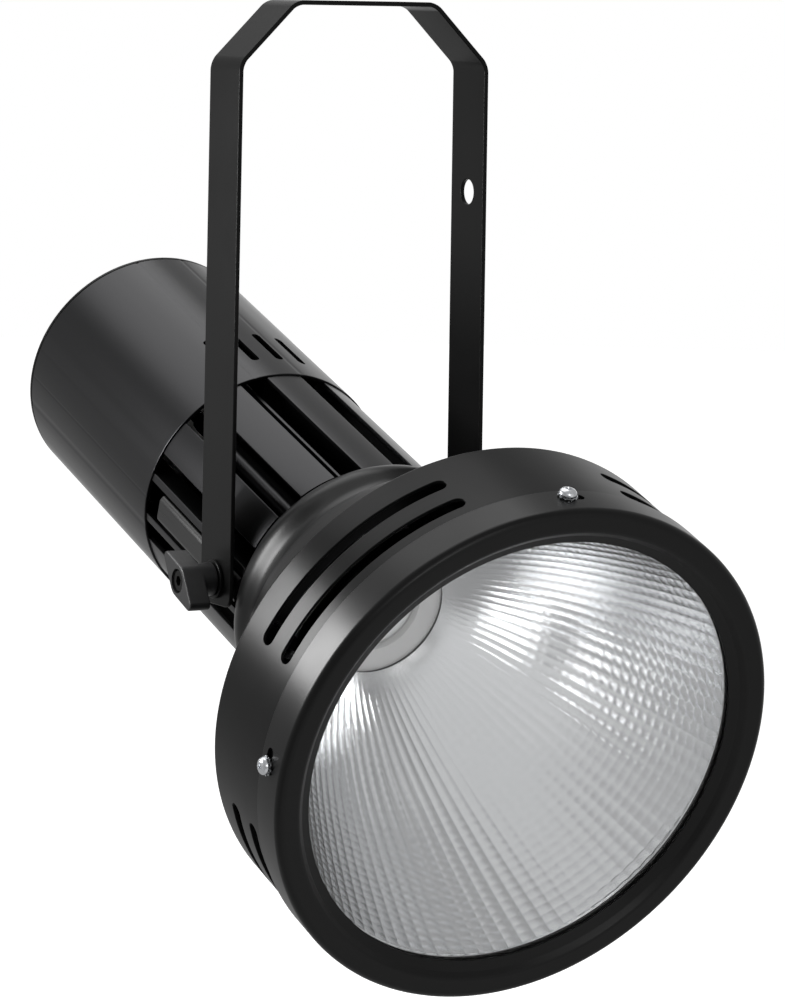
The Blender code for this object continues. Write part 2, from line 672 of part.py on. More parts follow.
def make_reflector():
    depth = REFLECTOR_BASE_STATION - FLANGE_BACK
    stations = [FLANGE_BACK + depth * i / REFLECTOR_RINGS for i in range(REFLECTOR_RINGS + 1)]
    inside = [(reflector_radius(s), s) for s in stations]
    outside = [(radius + REFLECTOR_WALL, s) for radius, s in inside]
    profile = (
        [(REFLECTOR_MOUTH_RADIUS, FLANGE_FRONT), (REFLECTOR_FLANGE_RADIUS, FLANGE_FRONT)]
        + [(REFLECTOR_FLANGE_RADIUS, FLANGE_BACK)]
        + outside
        + inside[::-1]
    )
    finish(lamp_turned("reflector", profile), "mirror_metal", tilt_axis)


def bell_outline(inset):
    """Bell surface from its throat in the ring to its back wall, moved inwards by inset."""
    length = BELL_STEP_STATION - RING_BACK
    rise = BELL_THROAT_RADIUS - BELL_STEP_RADIUS - BELL_FLARE_SLOPE * length
    flare = []
    for share in (1.0, 0.66, 0.33):
        reach = length * share
        flare.append((BELL_STEP_RADIUS + BELL_FLARE_SLOPE * reach + rise * share**2, BELL_STEP_STATION - reach))
    step = [
        (BELL_STEP_RADIUS, BELL_STEP_STATION),
        (BELL_STEP_RADIUS - BELL_STEP, BELL_STEP_STATION + BELL_STEP),
    ]
    waist = []
    drop = BELL_STEP_RADIUS - BELL_STEP - BELL_NECK_RADIUS
    run = BELL_NECK_STATION - BELL_STEP_STATION - BELL_STEP
    for share in (0.45, 1.0):
        waist.append((BELL_NECK_RADIUS + drop * (1 - share) ** 2, step[1][1] + run * share))
    centre = (BELL_NECK_RADIUS - BELL_SHOULDER, BELL_BACK_STATION - BELL_SHOULDER)
    shoulder = arc(centre, BELL_SHOULDER - inset, 0, math.pi / 2, 4)
    return [(radius - inset, station) for radius, station in flare + step + waist] + shoulder


def make_bell():
    hole = SPREADER_RADIUS + GAP
    profile = (
        [(BELL_THROAT_RADIUS - BELL_WALL, BELL_FLANGE_FRONT), (BELL_FLANGE_RADIUS, BELL_FLANGE_FRONT)]
        + [(BELL_FLANGE_RADIUS, BELL_FLANGE_BACK), (BELL_THROAT_RADIUS, BELL_FLANGE_BACK)]
        + bell_outline(0)
        + [(hole, BELL_BACK_STATION), (hole, BELL_BACK_STATION - BELL_WALL)]
        + bell_outline(BELL_WALL)[::-1]
    )
    bell = lamp_turned("bell", profile)
    wall_middle = height(BELL_BACK_STATION) + BELL_WALL / 2
    for i in range(4):
        hole = cylinder(f"bell_wall_hole_{i + 1}", SINK_PORT_HOLE_RADIUS, -0.003, 0.003, 12)
        as_cutter(hole, tilt_axis).matrix_local = port_place(i, wall_middle)
        boolean(bell, hole)
        flange_hole = cylinder(
            f"bell_flange_hole_{i + 1}", BELL_SCREW_RADIUS + GAP,
            height(BELL_FLANGE_BACK) - 0.001, height(BELL_FLANGE_FRONT) + 0.001, 12,
        )
        as_cutter(flange_hole, tilt_axis).matrix_local = bell_screw_place(i)
        boolean(bell, flange_hole)
    lead_hole = cylinder("bell_lead_hole", LEAD_HOLE_RADIUS, -0.003, 0.003, 12)
    as_cutter(lead_hole, tilt_axis).matrix_local = Matrix.Translation(
        (LEAD_CIRCLE * math.cos(LEAD_ANGLE), LEAD_CIRCLE * math.sin(LEAD_ANGLE), wall_middle)
    )
    boolean(bell, lead_hole)
    finish(bell, "steel_black", tilt_axis)

    for i in range(BELL_SCREW_COUNT):
        profile = screw_profile(
            BELL_SCREW_RADIUS, BELL_SCREW_LENGTH, BELL_SCREW_HEAD_RADIUS, BELL_SCREW_HEAD_HEIGHT
        )
        # These come in from behind and end in a point.
        profile[-2] = (BELL_SCREW_RADIUS, 2 * BELL_SCREW_RADIUS - BELL_SCREW_LENGTH)
        screw = turned(f"bell_screw_{i + 1}", profile, 12, closed=False)
        seat = Matrix.Translation((0, 0, height(RING_BACK) - GAP)) @ Matrix.Rotation(math.pi, 4, "X")
        finish(screw, "zinc", tilt_axis).matrix_local = bell_screw_place(i) @ seat
    for i in range(4):
        screw = turned(
            f"neck_screw_{i + 1}",
            screw_profile(SCREW_RADIUS, BELL_WALL + 0.008, SCREW_HEAD_RADIUS, SCREW_HEAD_HEIGHT),
            12,
            closed=False,
        )
        finish(screw, "zinc", tilt_axis).matrix_local = port_place(i, height(BELL_BACK_STATION) + BELL_WALL + GAP)


def port_place(i, z):
    """A screw port of the heatsink: they stand at 45 degrees to the tilt axis."""
    angle = math.pi / 4 + math.pi / 2 * i
    return Matrix.Translation((SINK_PORT_CIRCLE * math.cos(angle), SINK_PORT_CIRCLE * math.sin(angle), z))


def fin_points(kind):
    """Outline of one fin as (out, side) points, in the direction of growing angle."""
    root = SINK_CORE_RADIUS - 0.001
    if kind in ("short", "low"):
        half = SINK_SHORT_FIN_THICKNESS / 2
        tip = SINK_SHORT_FIN_RADIUS if kind == "short" else SINK_LOW_FIN_RADIUS
        foot = half * SINK_FIN_TAPER
        return [(root, -foot), (tip, -half), (tip, half), (root, foot)]
    if kind == "port":
        half = SINK_SHORT_FIN_THICKNESS / 2
        meet = math.pi - math.asin(half / SINK_PORT_RADIUS)
        foot = half * SINK_FIN_TAPER
        return [(root, -foot)] + arc((SINK_PORT_CIRCLE, 0), SINK_PORT_RADIUS, -meet, meet, 12) + [(root, foot)]
    if kind == "flanged":
        half = SINK_FIN_THICKNESS / 2
        under = SINK_RADIUS - SINK_FLANGE_THICKNESS
        span = SINK_FLANGE_HALF_ANGLE
        inner = arc((0, 0), under, -span, -half / under, 2)
        outer = arc((0, 0), SINK_RADIUS, -span, span, 4)
        foot = half * SINK_FIN_TAPER
        return [(root, -foot)] + inner[::-1] + outer + [(x, -y) for x, y in inner] + [(root, foot)]
    stem = CHANNEL_STEM_HALF
    foot = stem * SINK_FIN_TAPER
    below = CHANNEL_FLOOR_RADIUS - CHANNEL_FLOOR_THICKNESS
    outside = CHANNEL_HALF_WIDTH + CHANNEL_WALL
    under = SINK_RADIUS - SINK_FLANGE_THICKNESS
    lip_out = math.asin(outside / SINK_RADIUS)
    lip_in = math.asin(CHANNEL_OPENING_HALF / SINK_RADIUS)
    lower = (
        [(root, -foot), (below, -stem), (below, -outside)]
        + arc((0, 0), SINK_RADIUS, -lip_out, -lip_in, 1)
        + [
            (math.sqrt(under**2 - CHANNEL_OPENING_HALF**2), -CHANNEL_OPENING_HALF),
            (math.sqrt(under**2 - CHANNEL_HALF_WIDTH**2), -CHANNEL_HALF_WIDTH),
            (CHANNEL_FLOOR_RADIUS, -CHANNEL_HALF_WIDTH),
        ]
    )
    return lower + [(x, -y) for x, y in reversed(lower)]


def fin_kind(i):
    """Even places carry flanged fins, with a slide channel on each side, and odd places the shorter ones."""
    if i % 2 == 0:
        return "channel" if i % SINK_FIN_COUNT == 0 else "flanged"
    if i % SINK_FIN_COUNT in (1, SINK_FIN_COUNT - 1):
        return "low"
    return "port" if i % 6 == 3 else "short"


def make_heatsink():
    outline = []
    for i in range(2 * SINK_FIN_COUNT):
        angle = math.pi * i / SINK_FIN_COUNT
        for out, side in fin_points(fin_kind(i)):
            outline.append(
                (out * math.cos(angle) - side * math.sin(angle), out * math.sin(angle) + side * math.cos(angle))
            )
    holes = []
    for i in range(4):
        centre = port_place(i, 0).translation
        holes.append(circle(SINK_PORT_HOLE_RADIUS, 12, (centre.x, centre.y)))
    length = SINK_BACK_STATION - SINK_FRONT_STATION
    sink = prism("heatsink", [outline] + holes, length, height(SINK_FRONT_STATION + length / 2))
    clearance = SINK_RADIUS + 0.01
    spigot = lamp_turned(
        "spigot_cut",
        [
            (SPIGOT_RADIUS, SLEEVE_FRONT_STATION - GAP),
            (clearance, SLEEVE_FRONT_STATION - GAP),
            (clearance, SINK_BACK_STATION + 0.01),
            (SPIGOT_RADIUS, SINK_BACK_STATION + 0.01),
        ],
        96,
    )
    boolean(sink, as_cutter(spigot, tilt_axis))
    finish(sink, "anodised_black", tilt_axis, smooth=False)


def make_sleeve():
    inner = SLEEVE_RADIUS - SLEEVE_WALL
    sleeve = lamp_turned(
        "rear_sleeve",
        [
            (inner, SLEEVE_FRONT_STATION),
            (SLEEVE_RADIUS, SLEEVE_FRONT_STATION),
            (SLEEVE_RADIUS, SLEEVE_BACK),
            (inner, SLEEVE_BACK),
        ],
    )
    straight = VENT_LENGTH / 2 - VENT_WIDTH / 2
    capsule = (
        arc((straight, 0), VENT_WIDTH / 2, -math.pi / 2, math.pi / 2, 5)
        + arc((-straight, 0), VENT_WIDTH / 2, math.pi / 2, 1.5 * math.pi, 5)
    )
    for side, middle in (("top", math.pi / 2), ("bottom", -math.pi / 2)):
        for i in range(VENT_COUNT):
            angle = middle + VENT_PITCH * (i - (VENT_COUNT - 1) / 2)
            vent = prism(f"vent_{side}_{i + 1}", [capsule], 4 * SLEEVE_WALL, SLEEVE_RADIUS)
            as_cutter(vent, tilt_axis).matrix_local = (
                Matrix.Translation((0, 0, height(VENT_STATION))) @ outwards(angle)
            )
            boolean(sleeve, vent)
    finish(sleeve, "anodised_black", tilt_axis)


def make_cover():
    rim_radius = SLEEVE_RADIUS - SLEEVE_WALL - GAP
    cover = turned(
        "rear_cover",
        [
            (0, height(COVER_FRONT)),
            (rim_radius - COVER_RIM_WALL, height(COVER_FRONT)),
            (rim_radius - COVER_RIM_WALL, height(COVER_FRONT - COVER_RIM_DEPTH)),
            (rim_radius, height(COVER_FRONT - COVER_RIM_DEPTH)),
            (rim_radius, height(COVER_FRONT)),
            (SLEEVE_RADIUS, height(COVER_FRONT)),
            (SLEEVE_RADIUS, height(REAR_STATION) + 0.0006),
            (SLEEVE_RADIUS - 0.0006, height(REAR_STATION)),
            (0, height(REAR_STATION)),
        ],
        closed=False,
    )
    back = height(REAR_STATION)
    for i in range(4):
        hole = cylinder(f"cover_hole_{i + 1}", SCREW_RADIUS + GAP, back - 0.002, back + 0.004, 12)
        as_cutter(hole, tilt_axis).matrix_local = port_place(i, 0)
        boolean(cover, hole)
    gland_hole = cylinder("gland_hole", GLAND_THREAD_RADIUS + GAP, back - 0.002, back + 0.004, 24)
    as_cutter(gland_hole, tilt_axis).location = (0, -GLAND_DROP, 0)
    boolean(cover, gland_hole)
    finish(cover, "steel_black", tilt_axis)

    rod_back = height(COVER_FRONT) + GAP
    rod_front = height(SINK_BACK_STATION) - GAP
    screw_length = COVER_THICKNESS + 0.008
    for i in range(4):
        rod = cylinder(f"tie_rod_{i + 1}", TIE_ROD_RADIUS, rod_back, rod_front, 12)
        bore = cylinder(
            f"rod_bore_{i + 1}", SCREW_RADIUS + GAP, rod_back - 0.001, rod_back + screw_length, 12
        )
        as_cutter(bore, tilt_axis).matrix_local = port_place(i, 0)
        boolean(rod, bore)
        finish(rod, "zinc", tilt_axis).matrix_local = port_place(i, 0)
        screw = turned(
            f"cover_screw_{i + 1}",
            screw_profile(SCREW_RADIUS, screw_length, SCREW_HEAD_RADIUS, SCREW_HEAD_HEIGHT),
            12,
            closed=False,
        )
        place = port_place(i, back - GAP) @ Matrix.Rotation(math.pi, 4, "X")
        finish(screw, "zinc", tilt_axis).matrix_local = place


def make_gland():
    back = height(REAR_STATION)
    hex_top = back - GAP
    hex_bottom = hex_top - GLAND_HEX_THICKNESS
    neck_end = hex_bottom - GLAND_NECK_LENGTH
    inside = height(COVER_FRONT) + GAP + GLAND_LOCKNUT_THICKNESS
    body = cylinder("gland_body", GLAND_THREAD_RADIUS, neck_end, inside, 24)
    collar = cylinder("gland_collar", GLAND_HEX_RADIUS, hex_bottom, hex_top, 6)
    boolean(body, as_cutter(collar, tilt_axis), "UNION")
    collar.location = (0, -GLAND_DROP, 0)
    bore = cylinder("gland_bore", GLAND_BORE_RADIUS, neck_end - 0.001, inside + 0.001, 16)
    boolean(body, as_cutter(bore, tilt_axis))
    bore.location = (0, -GLAND_DROP, 0)
    finish(body, "plastic_black", tilt_axis).location = (0, -GLAND_DROP, 0)

    shell = GLAND_THREAD_RADIUS + GAP
    nut_top = hex_bottom - GAP
    nut_bottom = nut_top - GLAND_NUT_LENGTH
    seal_top = neck_end - GAP
    nut = turned(
        "gland_nut",
        [
            (shell, nut_top),
            (GLAND_NUT_RADIUS, nut_top),
            (GLAND_NUT_RADIUS, nut_top - 0.65 * GLAND_NUT_LENGTH),
            (GLAND_NUT_RADIUS - 0.0012, nut_bottom + 0.0014),
            (GLAND_NUT_RADIUS - 0.0032, nut_bottom),
            (GLAND_BORE_RADIUS, nut_bottom),
            (GLAND_BORE_RADIUS, nut_bottom + 0.002),
            (shell, nut_bottom + 0.002),
        ],
        24,
    )
    finish(nut, "plastic_black", tilt_axis).location = (0, -GLAND_DROP, 0)
    seal_bottom = nut_bottom + 0.002 + GAP
    seal = turned(
        "gland_seal",
        [
            (GLAND_SEAL_BORE_RADIUS, seal_top),
            (GLAND_SEAL_RADIUS, seal_top),
            (GLAND_SEAL_RADIUS, seal_bottom),
            (GLAND_SEAL_BORE_RADIUS, seal_bottom),
        ],
        16,
    )
    finish(seal, "rubber_black", tilt_axis).location = (0, -GLAND_DROP, 0)
    low = height(COVER_FRONT) + GAP
    locknut = prism(
        "gland_locknut",
        [circle(GLAND_HEX_RADIUS, 6), circle(GLAND_THREAD_RADIUS + GAP, 24)],
        GLAND_LOCKNUT_THICKNESS,
        low + GLAND_LOCKNUT_THICKNESS / 2,
    )
    finish(locknut, "plastic_black", tilt_axis, smooth=False).location = (0, -GLAND_DROP, 0)


def make_driver():
    front = height(SINK_BACK_STATION + DRIVER_STAND_OFF)
    centre_z = front - DRIVER_LENGTH / 2
    driver = box("driver", (DRIVER_WIDTH, DRIVER_HEIGHT, DRIVER_LENGTH), (0, 0, centre_z))
    bevel = driver.modifiers.new("edges", "BEVEL")
    bevel.width = 0.0015
    finish(driver, "driver_white", tilt_axis)

    under = -DRIVER_HEIGHT / 2 - GAP
    sink_back = height(SINK_BACK_STATION) - GAP
    plate_outline = [
        (sink_back, under + DRIVER_FLAP_HEIGHT),
        (sink_back - PLATE_THICKNESS, under + DRIVER_FLAP_HEIGHT),
        (sink_back - PLATE_THICKNESS, under),
        (front - DRIVER_LENGTH, under),
        (front - DRIVER_LENGTH, under - PLATE_THICKNESS),
        (sink_back, under - PLATE_THICKNESS),
    ]
    plate = prism("driver_plate", [plate_outline], DRIVER_WIDTH)
    # Outline axes (along the lamp, up) become local Z and Y.
    plate.data.transform(Matrix(((0, 0, 1, 0), (0, 1, 0, 0), (1, 0, 0, 0), (0, 0, 0, 1))))
    plate.data.flip_normals()
    finish(plate, "aluminium_plain", tilt_axis, smooth=False)


def make_light_source():
    sink_front = height(SINK_FRONT_STATION) + GAP
    spreader = cylinder("heat_spreader", SPREADER_RADIUS, sink_front, height(SPREADER_FRONT_STATION), 32)
    finish(spreader, "aluminium_plain", tilt_axis)
    board_back = height(SPREADER_FRONT_STATION) + GAP
    board = box(
        "led_board", (BOARD_SIDE, BOARD_SIDE, BOARD_THICKNESS), (0, 0, board_back + BOARD_THICKNESS / 2)
    )
    finish(board, "plastic_white", tilt_axis, smooth=False)
    emitter_back = board_back + BOARD_THICKNESS + GAP
    emitter = cylinder("led_emitter", EMITTER_RADIUS, emitter_back, emitter_back + EMITTER_THICKNESS, 32)
    finish(emitter, "emitter_pale", tilt_axis)
    holder = turned(
        "led_holder",
        [
            (HOLDER_BORE, emitter_back + HOLDER_HEIGHT),
            (HOLDER_RADIUS, emitter_back + HOLDER_HEIGHT),
            (HOLDER_RADIUS, emitter_back),
            (HOLDER_BORE, emitter_back),
        ],
        32,
    )
    finish(holder, "plastic_white", tilt_axis)


def smooth_route(points, steps=3):
    """Points on a smooth curve that passes through the given ones."""
    points = [Vector(point) for point in points]
    points = [2 * points[0] - points[1]] + points + [2 * points[-1] - points[-2]]
    route = []
    for a, b, c, d in zip(points, points[1:], points[2:], points[3:]):
        for i in range(steps):
            t = i / steps
            route.append(
                (2 * b + (c - a) * t + (2 * a - 5 * b + 4 * c - d) * t**2 + (3 * b - a - 3 * c + d) * t**3) / 2
            )
    return route + [points[-2]]


def make_lead():
    """Sheathed lead from the driver, between two fins and through the bell's wall, to the light source."""
    start = height(SINK_BACK_STATION + DRIVER_STAND_OFF) + GAP
    middle = start + DRIVER_STAND_OFF / 2
    source = height(SPREADER_FRONT_STATION) + BOARD_THICKNESS + 0.0032
    out = LEAD_CIRCLE
    behind = smooth_route(
        [
            (LEAD_START_RADIUS, start + 0.0015),
            (LEAD_START_RADIUS + 0.002, middle - 0.0003),
            (LEAD_START_RADIUS + 0.008, middle + 0.0010),
            (out - 0.009, middle + 0.0005),
            (out - 0.001, middle + 0.006),
            (out, middle + LEAD_SWEEP),
        ]
    )
    ahead = smooth_route(
        [
            (out, source - LEAD_RUN_OUT),
            (out - 0.0004, source - 0.0085),
            (out - 0.002, source - 0.004),
            (out - 0.0055, source - 0.001),
            (HOLDER_RADIUS + 0.0034, source - 0.0001),
            (HOLDER_RADIUS + GAP, source),
        ]
    )
    # The stretch between the two bends is straight.
    route = [(LEAD_START_RADIUS, start)] + behind + ahead
    curve = bpy.data.curves.new("led_lead", "CURVE")
    curve.dimensions = "3D"
    curve.bevel_depth = LEAD_RADIUS
    curve.bevel_resolution = 2
    curve.use_fill_caps = True
    spline = curve.splines.new("POLY")
    spline.points.add(len(route) - 1)
    for point, (radius, z) in zip(spline.points, route):
        point.co = (radius * math.cos(LEAD_ANGLE), radius * math.sin(LEAD_ANGLE), z, 1)
    finish(bpy.data.objects.new("led_lead", curve), "lead_sleeve", tilt_axis, smooth=False)


def knob_wing_outline():
    """A hub circle and two smaller tip circles, joined by their tangents."""
    reach = KNOB_WING_LENGTH / 2 - KNOB_TIP_RADIUS
    lean = math.acos((KNOB_HUB_RADIUS - KNOB_TIP_RADIUS) / reach)
    outline = []
    for turn in (0, math.pi):
        tip = arc((reach, 0), KNOB_TIP_RADIUS, -lean, lean, 6)
        hub = arc((0, 0), KNOB_HUB_RADIUS, lean, math.pi - lean, 5)
        for x, y in tip + hub:
            outline.append((x * math.cos(turn) - y * math.sin(turn), x * math.sin(turn) + y * math.cos(turn)))
    return outline


def make_pivot(side):
    axis = knob_axes[side]
    turn = 0 if side == "right" else math.pi
    bore = cylinder(
        "slide_nut_bore_" + side, PIVOT_SCREW_RADIUS + RUNNING_CLEARANCE, CHANNEL_FLOOR_RADIUS, NUT_TOP + 0.002, 16
    )
    as_cutter(bore, tilt_axis).matrix_local = outwards(turn)
    under_lip = math.sqrt((SINK_RADIUS - SINK_FLANGE_THICKNESS) ** 2 - CHANNEL_HALF_WIDTH**2) - GAP
    low = under_lip - SLIDE_NUT_FLANGE
    wide = CHANNEL_HALF_WIDTH - GAP
    narrow = SLIDE_NUT_NECK_HALF
    half = [(wide, low), (wide, under_lip), (narrow, under_lip), (narrow, NUT_TOP)]
    outline = half + [(-x, z) for x, z in reversed(half)]
    length = SLIDE_NUT_BACK_STATION - SLIDE_NUT_FRONT_STATION
    nut = prism("slide_nut_" + side, [outline], length, height(SLIDE_NUT_FRONT_STATION + length / 2))
    # Outline axes (across, out) become local Y and X of the lamp, turned to this side.
    nut.data.transform(Matrix.Rotation(turn, 4, "Z") @ Matrix(((0, 1, 0, 0), (1, 0, 0, 0), (0, 0, 1, 0), (0, 0, 0, 1))))
    nut.data.flip_normals()
    boolean(nut, bore)
    finish(nut, "steel_blued", tilt_axis, smooth=False)

    washer = prism(
        "pivot_star_washer_" + side,
        [star(PIVOT_WASHER_RADIUS, PIVOT_WASHER_TEETH, 0.0012), circle(PIVOT_SCREW_RADIUS + RUNNING_CLEARANCE, 16)],
        PIVOT_WASHER_THICKNESS,
        PIVOT_WASHER_INNER + PIVOT_WASHER_THICKNESS / 2,
    )
    finish(washer, "zinc", tilt_axis, smooth=False).matrix_local = outwards(turn)

    bore_radius = PIVOT_SCREW_RADIUS + RUNNING_CLEARANCE
    plain = prism(
        "knob_washer_" + side,
        [circle(KNOB_WASHER_RADIUS, 24), circle(bore_radius, 16)],
        KNOB_WASHER_THICKNESS,
        KNOB_WASHER_INNER + KNOB_WASHER_THICKNESS / 2,
    )
    finish(plain, "steel_black", axis)

    wing = prism(
        "wing_knob_" + side, [knob_wing_outline()], KNOB_WING_THICKNESS, KNOB_FACE - KNOB_WING_THICKNESS / 2
    )
    wing.data.transform(Matrix.Rotation(KNOB_WING_ANGLE, 4, "Z"))
    hub = cylinder("knob_hub_" + side, KNOB_HUB_RADIUS, KNOB_INNER, KNOB_FACE - KNOB_WING_THICKNESS / 2, 24)
    recess = cylinder("knob_recess_" + side, KNOB_RECESS_RADIUS, KNOB_FACE - KNOB_RECESS_DEPTH, KNOB_FACE + 0.001, 20)
    knob_bore = cylinder("knob_bore_" + side, bore_radius, KNOB_INNER - 0.001, KNOB_FACE, 16)
    boolean(wing, as_cutter(hub, axis), "UNION")
    boolean(wing, as_cutter(recess, axis))
    boolean(wing, as_cutter(knob_bore, axis))
    finish(wing, "plastic_black", axis)

    seat = KNOB_FACE - KNOB_RECESS_DEPTH + GAP
    tip = low + GAP
    screw = turned(
        "knob_screw_" + side,
        screw_profile(PIVOT_SCREW_RADIUS, seat - tip, KNOB_SCREW_HEAD_RADIUS, KNOB_SCREW_HEAD_HEIGHT),
        16,
        closed=False,
    )
    screw.data.transform(Matrix.Translation((0, 0, seat)))
    finish(screw, "steel_black", axis)


make_bracket()
make_bezel()
make_ring()
make_bezel_screws()
make_glass()
make_reflector()
make_bell()
make_heatsink()
make_sleeve()
make_cover()
make_gland()
make_driver()
make_light_source()
make_lead()
for side in ("left", "right"):
    make_pivot(side)
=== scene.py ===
# LED spotlight in its bracket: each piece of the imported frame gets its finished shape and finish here.
# Lamp pieces are modelled along the lamp, with Z towards the glass, X along the tilt axis and that axis at Z 0,
# and are moved to the lamp's place before they become objects. Stations are mm behind the lamp's front plane.

import json
import math

import bmesh
import bpy
from mathutils import Matrix, Quaternion, Vector


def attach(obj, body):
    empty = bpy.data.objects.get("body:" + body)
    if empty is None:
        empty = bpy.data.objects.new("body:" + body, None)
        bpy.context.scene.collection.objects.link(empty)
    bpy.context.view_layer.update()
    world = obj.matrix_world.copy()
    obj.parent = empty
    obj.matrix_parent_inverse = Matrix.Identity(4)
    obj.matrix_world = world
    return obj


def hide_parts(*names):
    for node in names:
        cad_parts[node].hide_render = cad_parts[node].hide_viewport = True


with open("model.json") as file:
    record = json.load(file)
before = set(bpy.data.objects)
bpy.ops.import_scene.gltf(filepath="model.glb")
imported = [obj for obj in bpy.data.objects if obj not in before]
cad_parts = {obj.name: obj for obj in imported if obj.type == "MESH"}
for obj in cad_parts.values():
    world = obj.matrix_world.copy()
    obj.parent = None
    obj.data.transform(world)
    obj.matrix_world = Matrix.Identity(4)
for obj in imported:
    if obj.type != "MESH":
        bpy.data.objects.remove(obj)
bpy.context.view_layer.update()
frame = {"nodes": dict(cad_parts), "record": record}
record = frame["record"]
bodyOf = {node: body for body, nodes in record["behaviour"]["bodies"].items() for node in nodes}
print("frame loaded,", len(frame["nodes"]), "nodes")

mm = 0.001
lamp = {
    "tilt": 19.3,  # degrees that the lamp looks down
    "pivotStation": 175,
    "steps": 180,  # segments of the big turned pieces
    "gap": 0.3,  # mm between pieces that touch
}
pivot = Vector(record["behaviour"]["joints"][0]["pos_m"])
lampPlace = Matrix.Translation(pivot) @ Matrix.Rotation(math.radians(90 + lamp["tilt"]), 4, "X")


def station(value):
    return (lamp["pivotStation"] - value) * mm


# Camera: the photograph's own viewpoint, a long lens from the front left.
photoView = {
    "place": (-0.8977, -1.6628, 0.0050),
    "looksAlong": (0.4818, 0.8682, -0.1190),
    "roll": 1.08,
    "lens": 153.1,
}


def makeCamera():
    camera = bpy.data.objects.new("camera", bpy.data.cameras.new("camera"))
    camera.data.lens = photoView["lens"]
    camera.data.sensor_width = 36
    camera.data.clip_end = 50
    turn = Vector(photoView["looksAlong"]).to_track_quat("-Z", "Y")
    roll = Quaternion((0, 0, 1), math.radians(photoView["roll"]))
    camera.matrix_world = Matrix.Translation(photoView["place"]) @ (turn @ roll).to_matrix().to_4x4()
    bpy.context.scene.collection.objects.link(camera)
    bpy.context.scene.camera = camera


makeCamera()
print("camera placed")


# Finishes.
def linear(hexColour):
    channels = [int(hexColour[i : i + 2], 16) / 255 for i in (1, 3, 5)]
    return tuple(c / 12.92 if c <= 0.04045 else ((c + 0.055) / 1.055) ** 2.4 for c in channels) + (1,)


def addNode(tree, kind, settings=None, links=None):
    node = tree.nodes.new(kind)
    for name, value in (settings or {}).items():
        if isinstance(name, int) or name in node.inputs:
            node.inputs[name].default_value = value
        else:
            setattr(node, name, value)
    for name, source in (links or {}).items():
        tree.links.new(source, node.inputs[name])
    return node


def newFinish(name, settings):
    finish = bpy.data.materials.new(name)
    finish.use_nodes = True
    shader = finish.node_tree.nodes["Principled BSDF"]
    for socket, value in settings.items():
        shader.inputs[socket].default_value = value
    return finish, finish.node_tree, shader


# Object coordinates turned so that Z runs along the lamp and the axis passes through 0.
def alongLamp(tree, squeeze=1.0):
    coords = addNode(tree, "ShaderNodeTexCoord")
    turned = addNode(
        tree,
        "ShaderNodeMapping",
        {
            "vector_type": "TEXTURE",
            "Location": tuple(pivot),
            "Rotation": (math.radians(90 + lamp["tilt"]), 0, 0),
        },
        {"Vector": coords.outputs["Object"]},
    )
    if squeeze == 1.0:
        return turned.outputs["Vector"]
    return addNode(
        tree, "ShaderNodeMapping", {"Scale": (1, 1, squeeze)}, {"Vector": turned.outputs["Vector"]}
    ).outputs["Vector"]


def addGrain(tree, shader, vector, size, depth):
    noise = addNode(tree, "ShaderNodeTexNoise", {"Scale": 1 / (size * mm), "Detail": 2.0}, {"Vector": vector})
    bump = addNode(tree, "ShaderNodeBump", {"Distance": depth * mm}, {"Height": noise.outputs["Fac"]})
    tree.links.new(bump.outputs["Normal"], shader.inputs["Normal"])


def addPatches(tree, shader, vector, size, low, high):
    noise = addNode(tree, "ShaderNodeTexNoise", {"Scale": 1 / (size * mm), "Detail": 3.0}, {"Vector": vector})
    spread = addNode(
        tree,
        "ShaderNodeMapRange",
        {"From Min": 0.3, "From Max": 0.7, "To Min": low, "To Max": high},
        {"Value": noise.outputs["Fac"]},
    )
    tree.links.new(spread.outputs["Result"], shader.inputs["Roughness"])


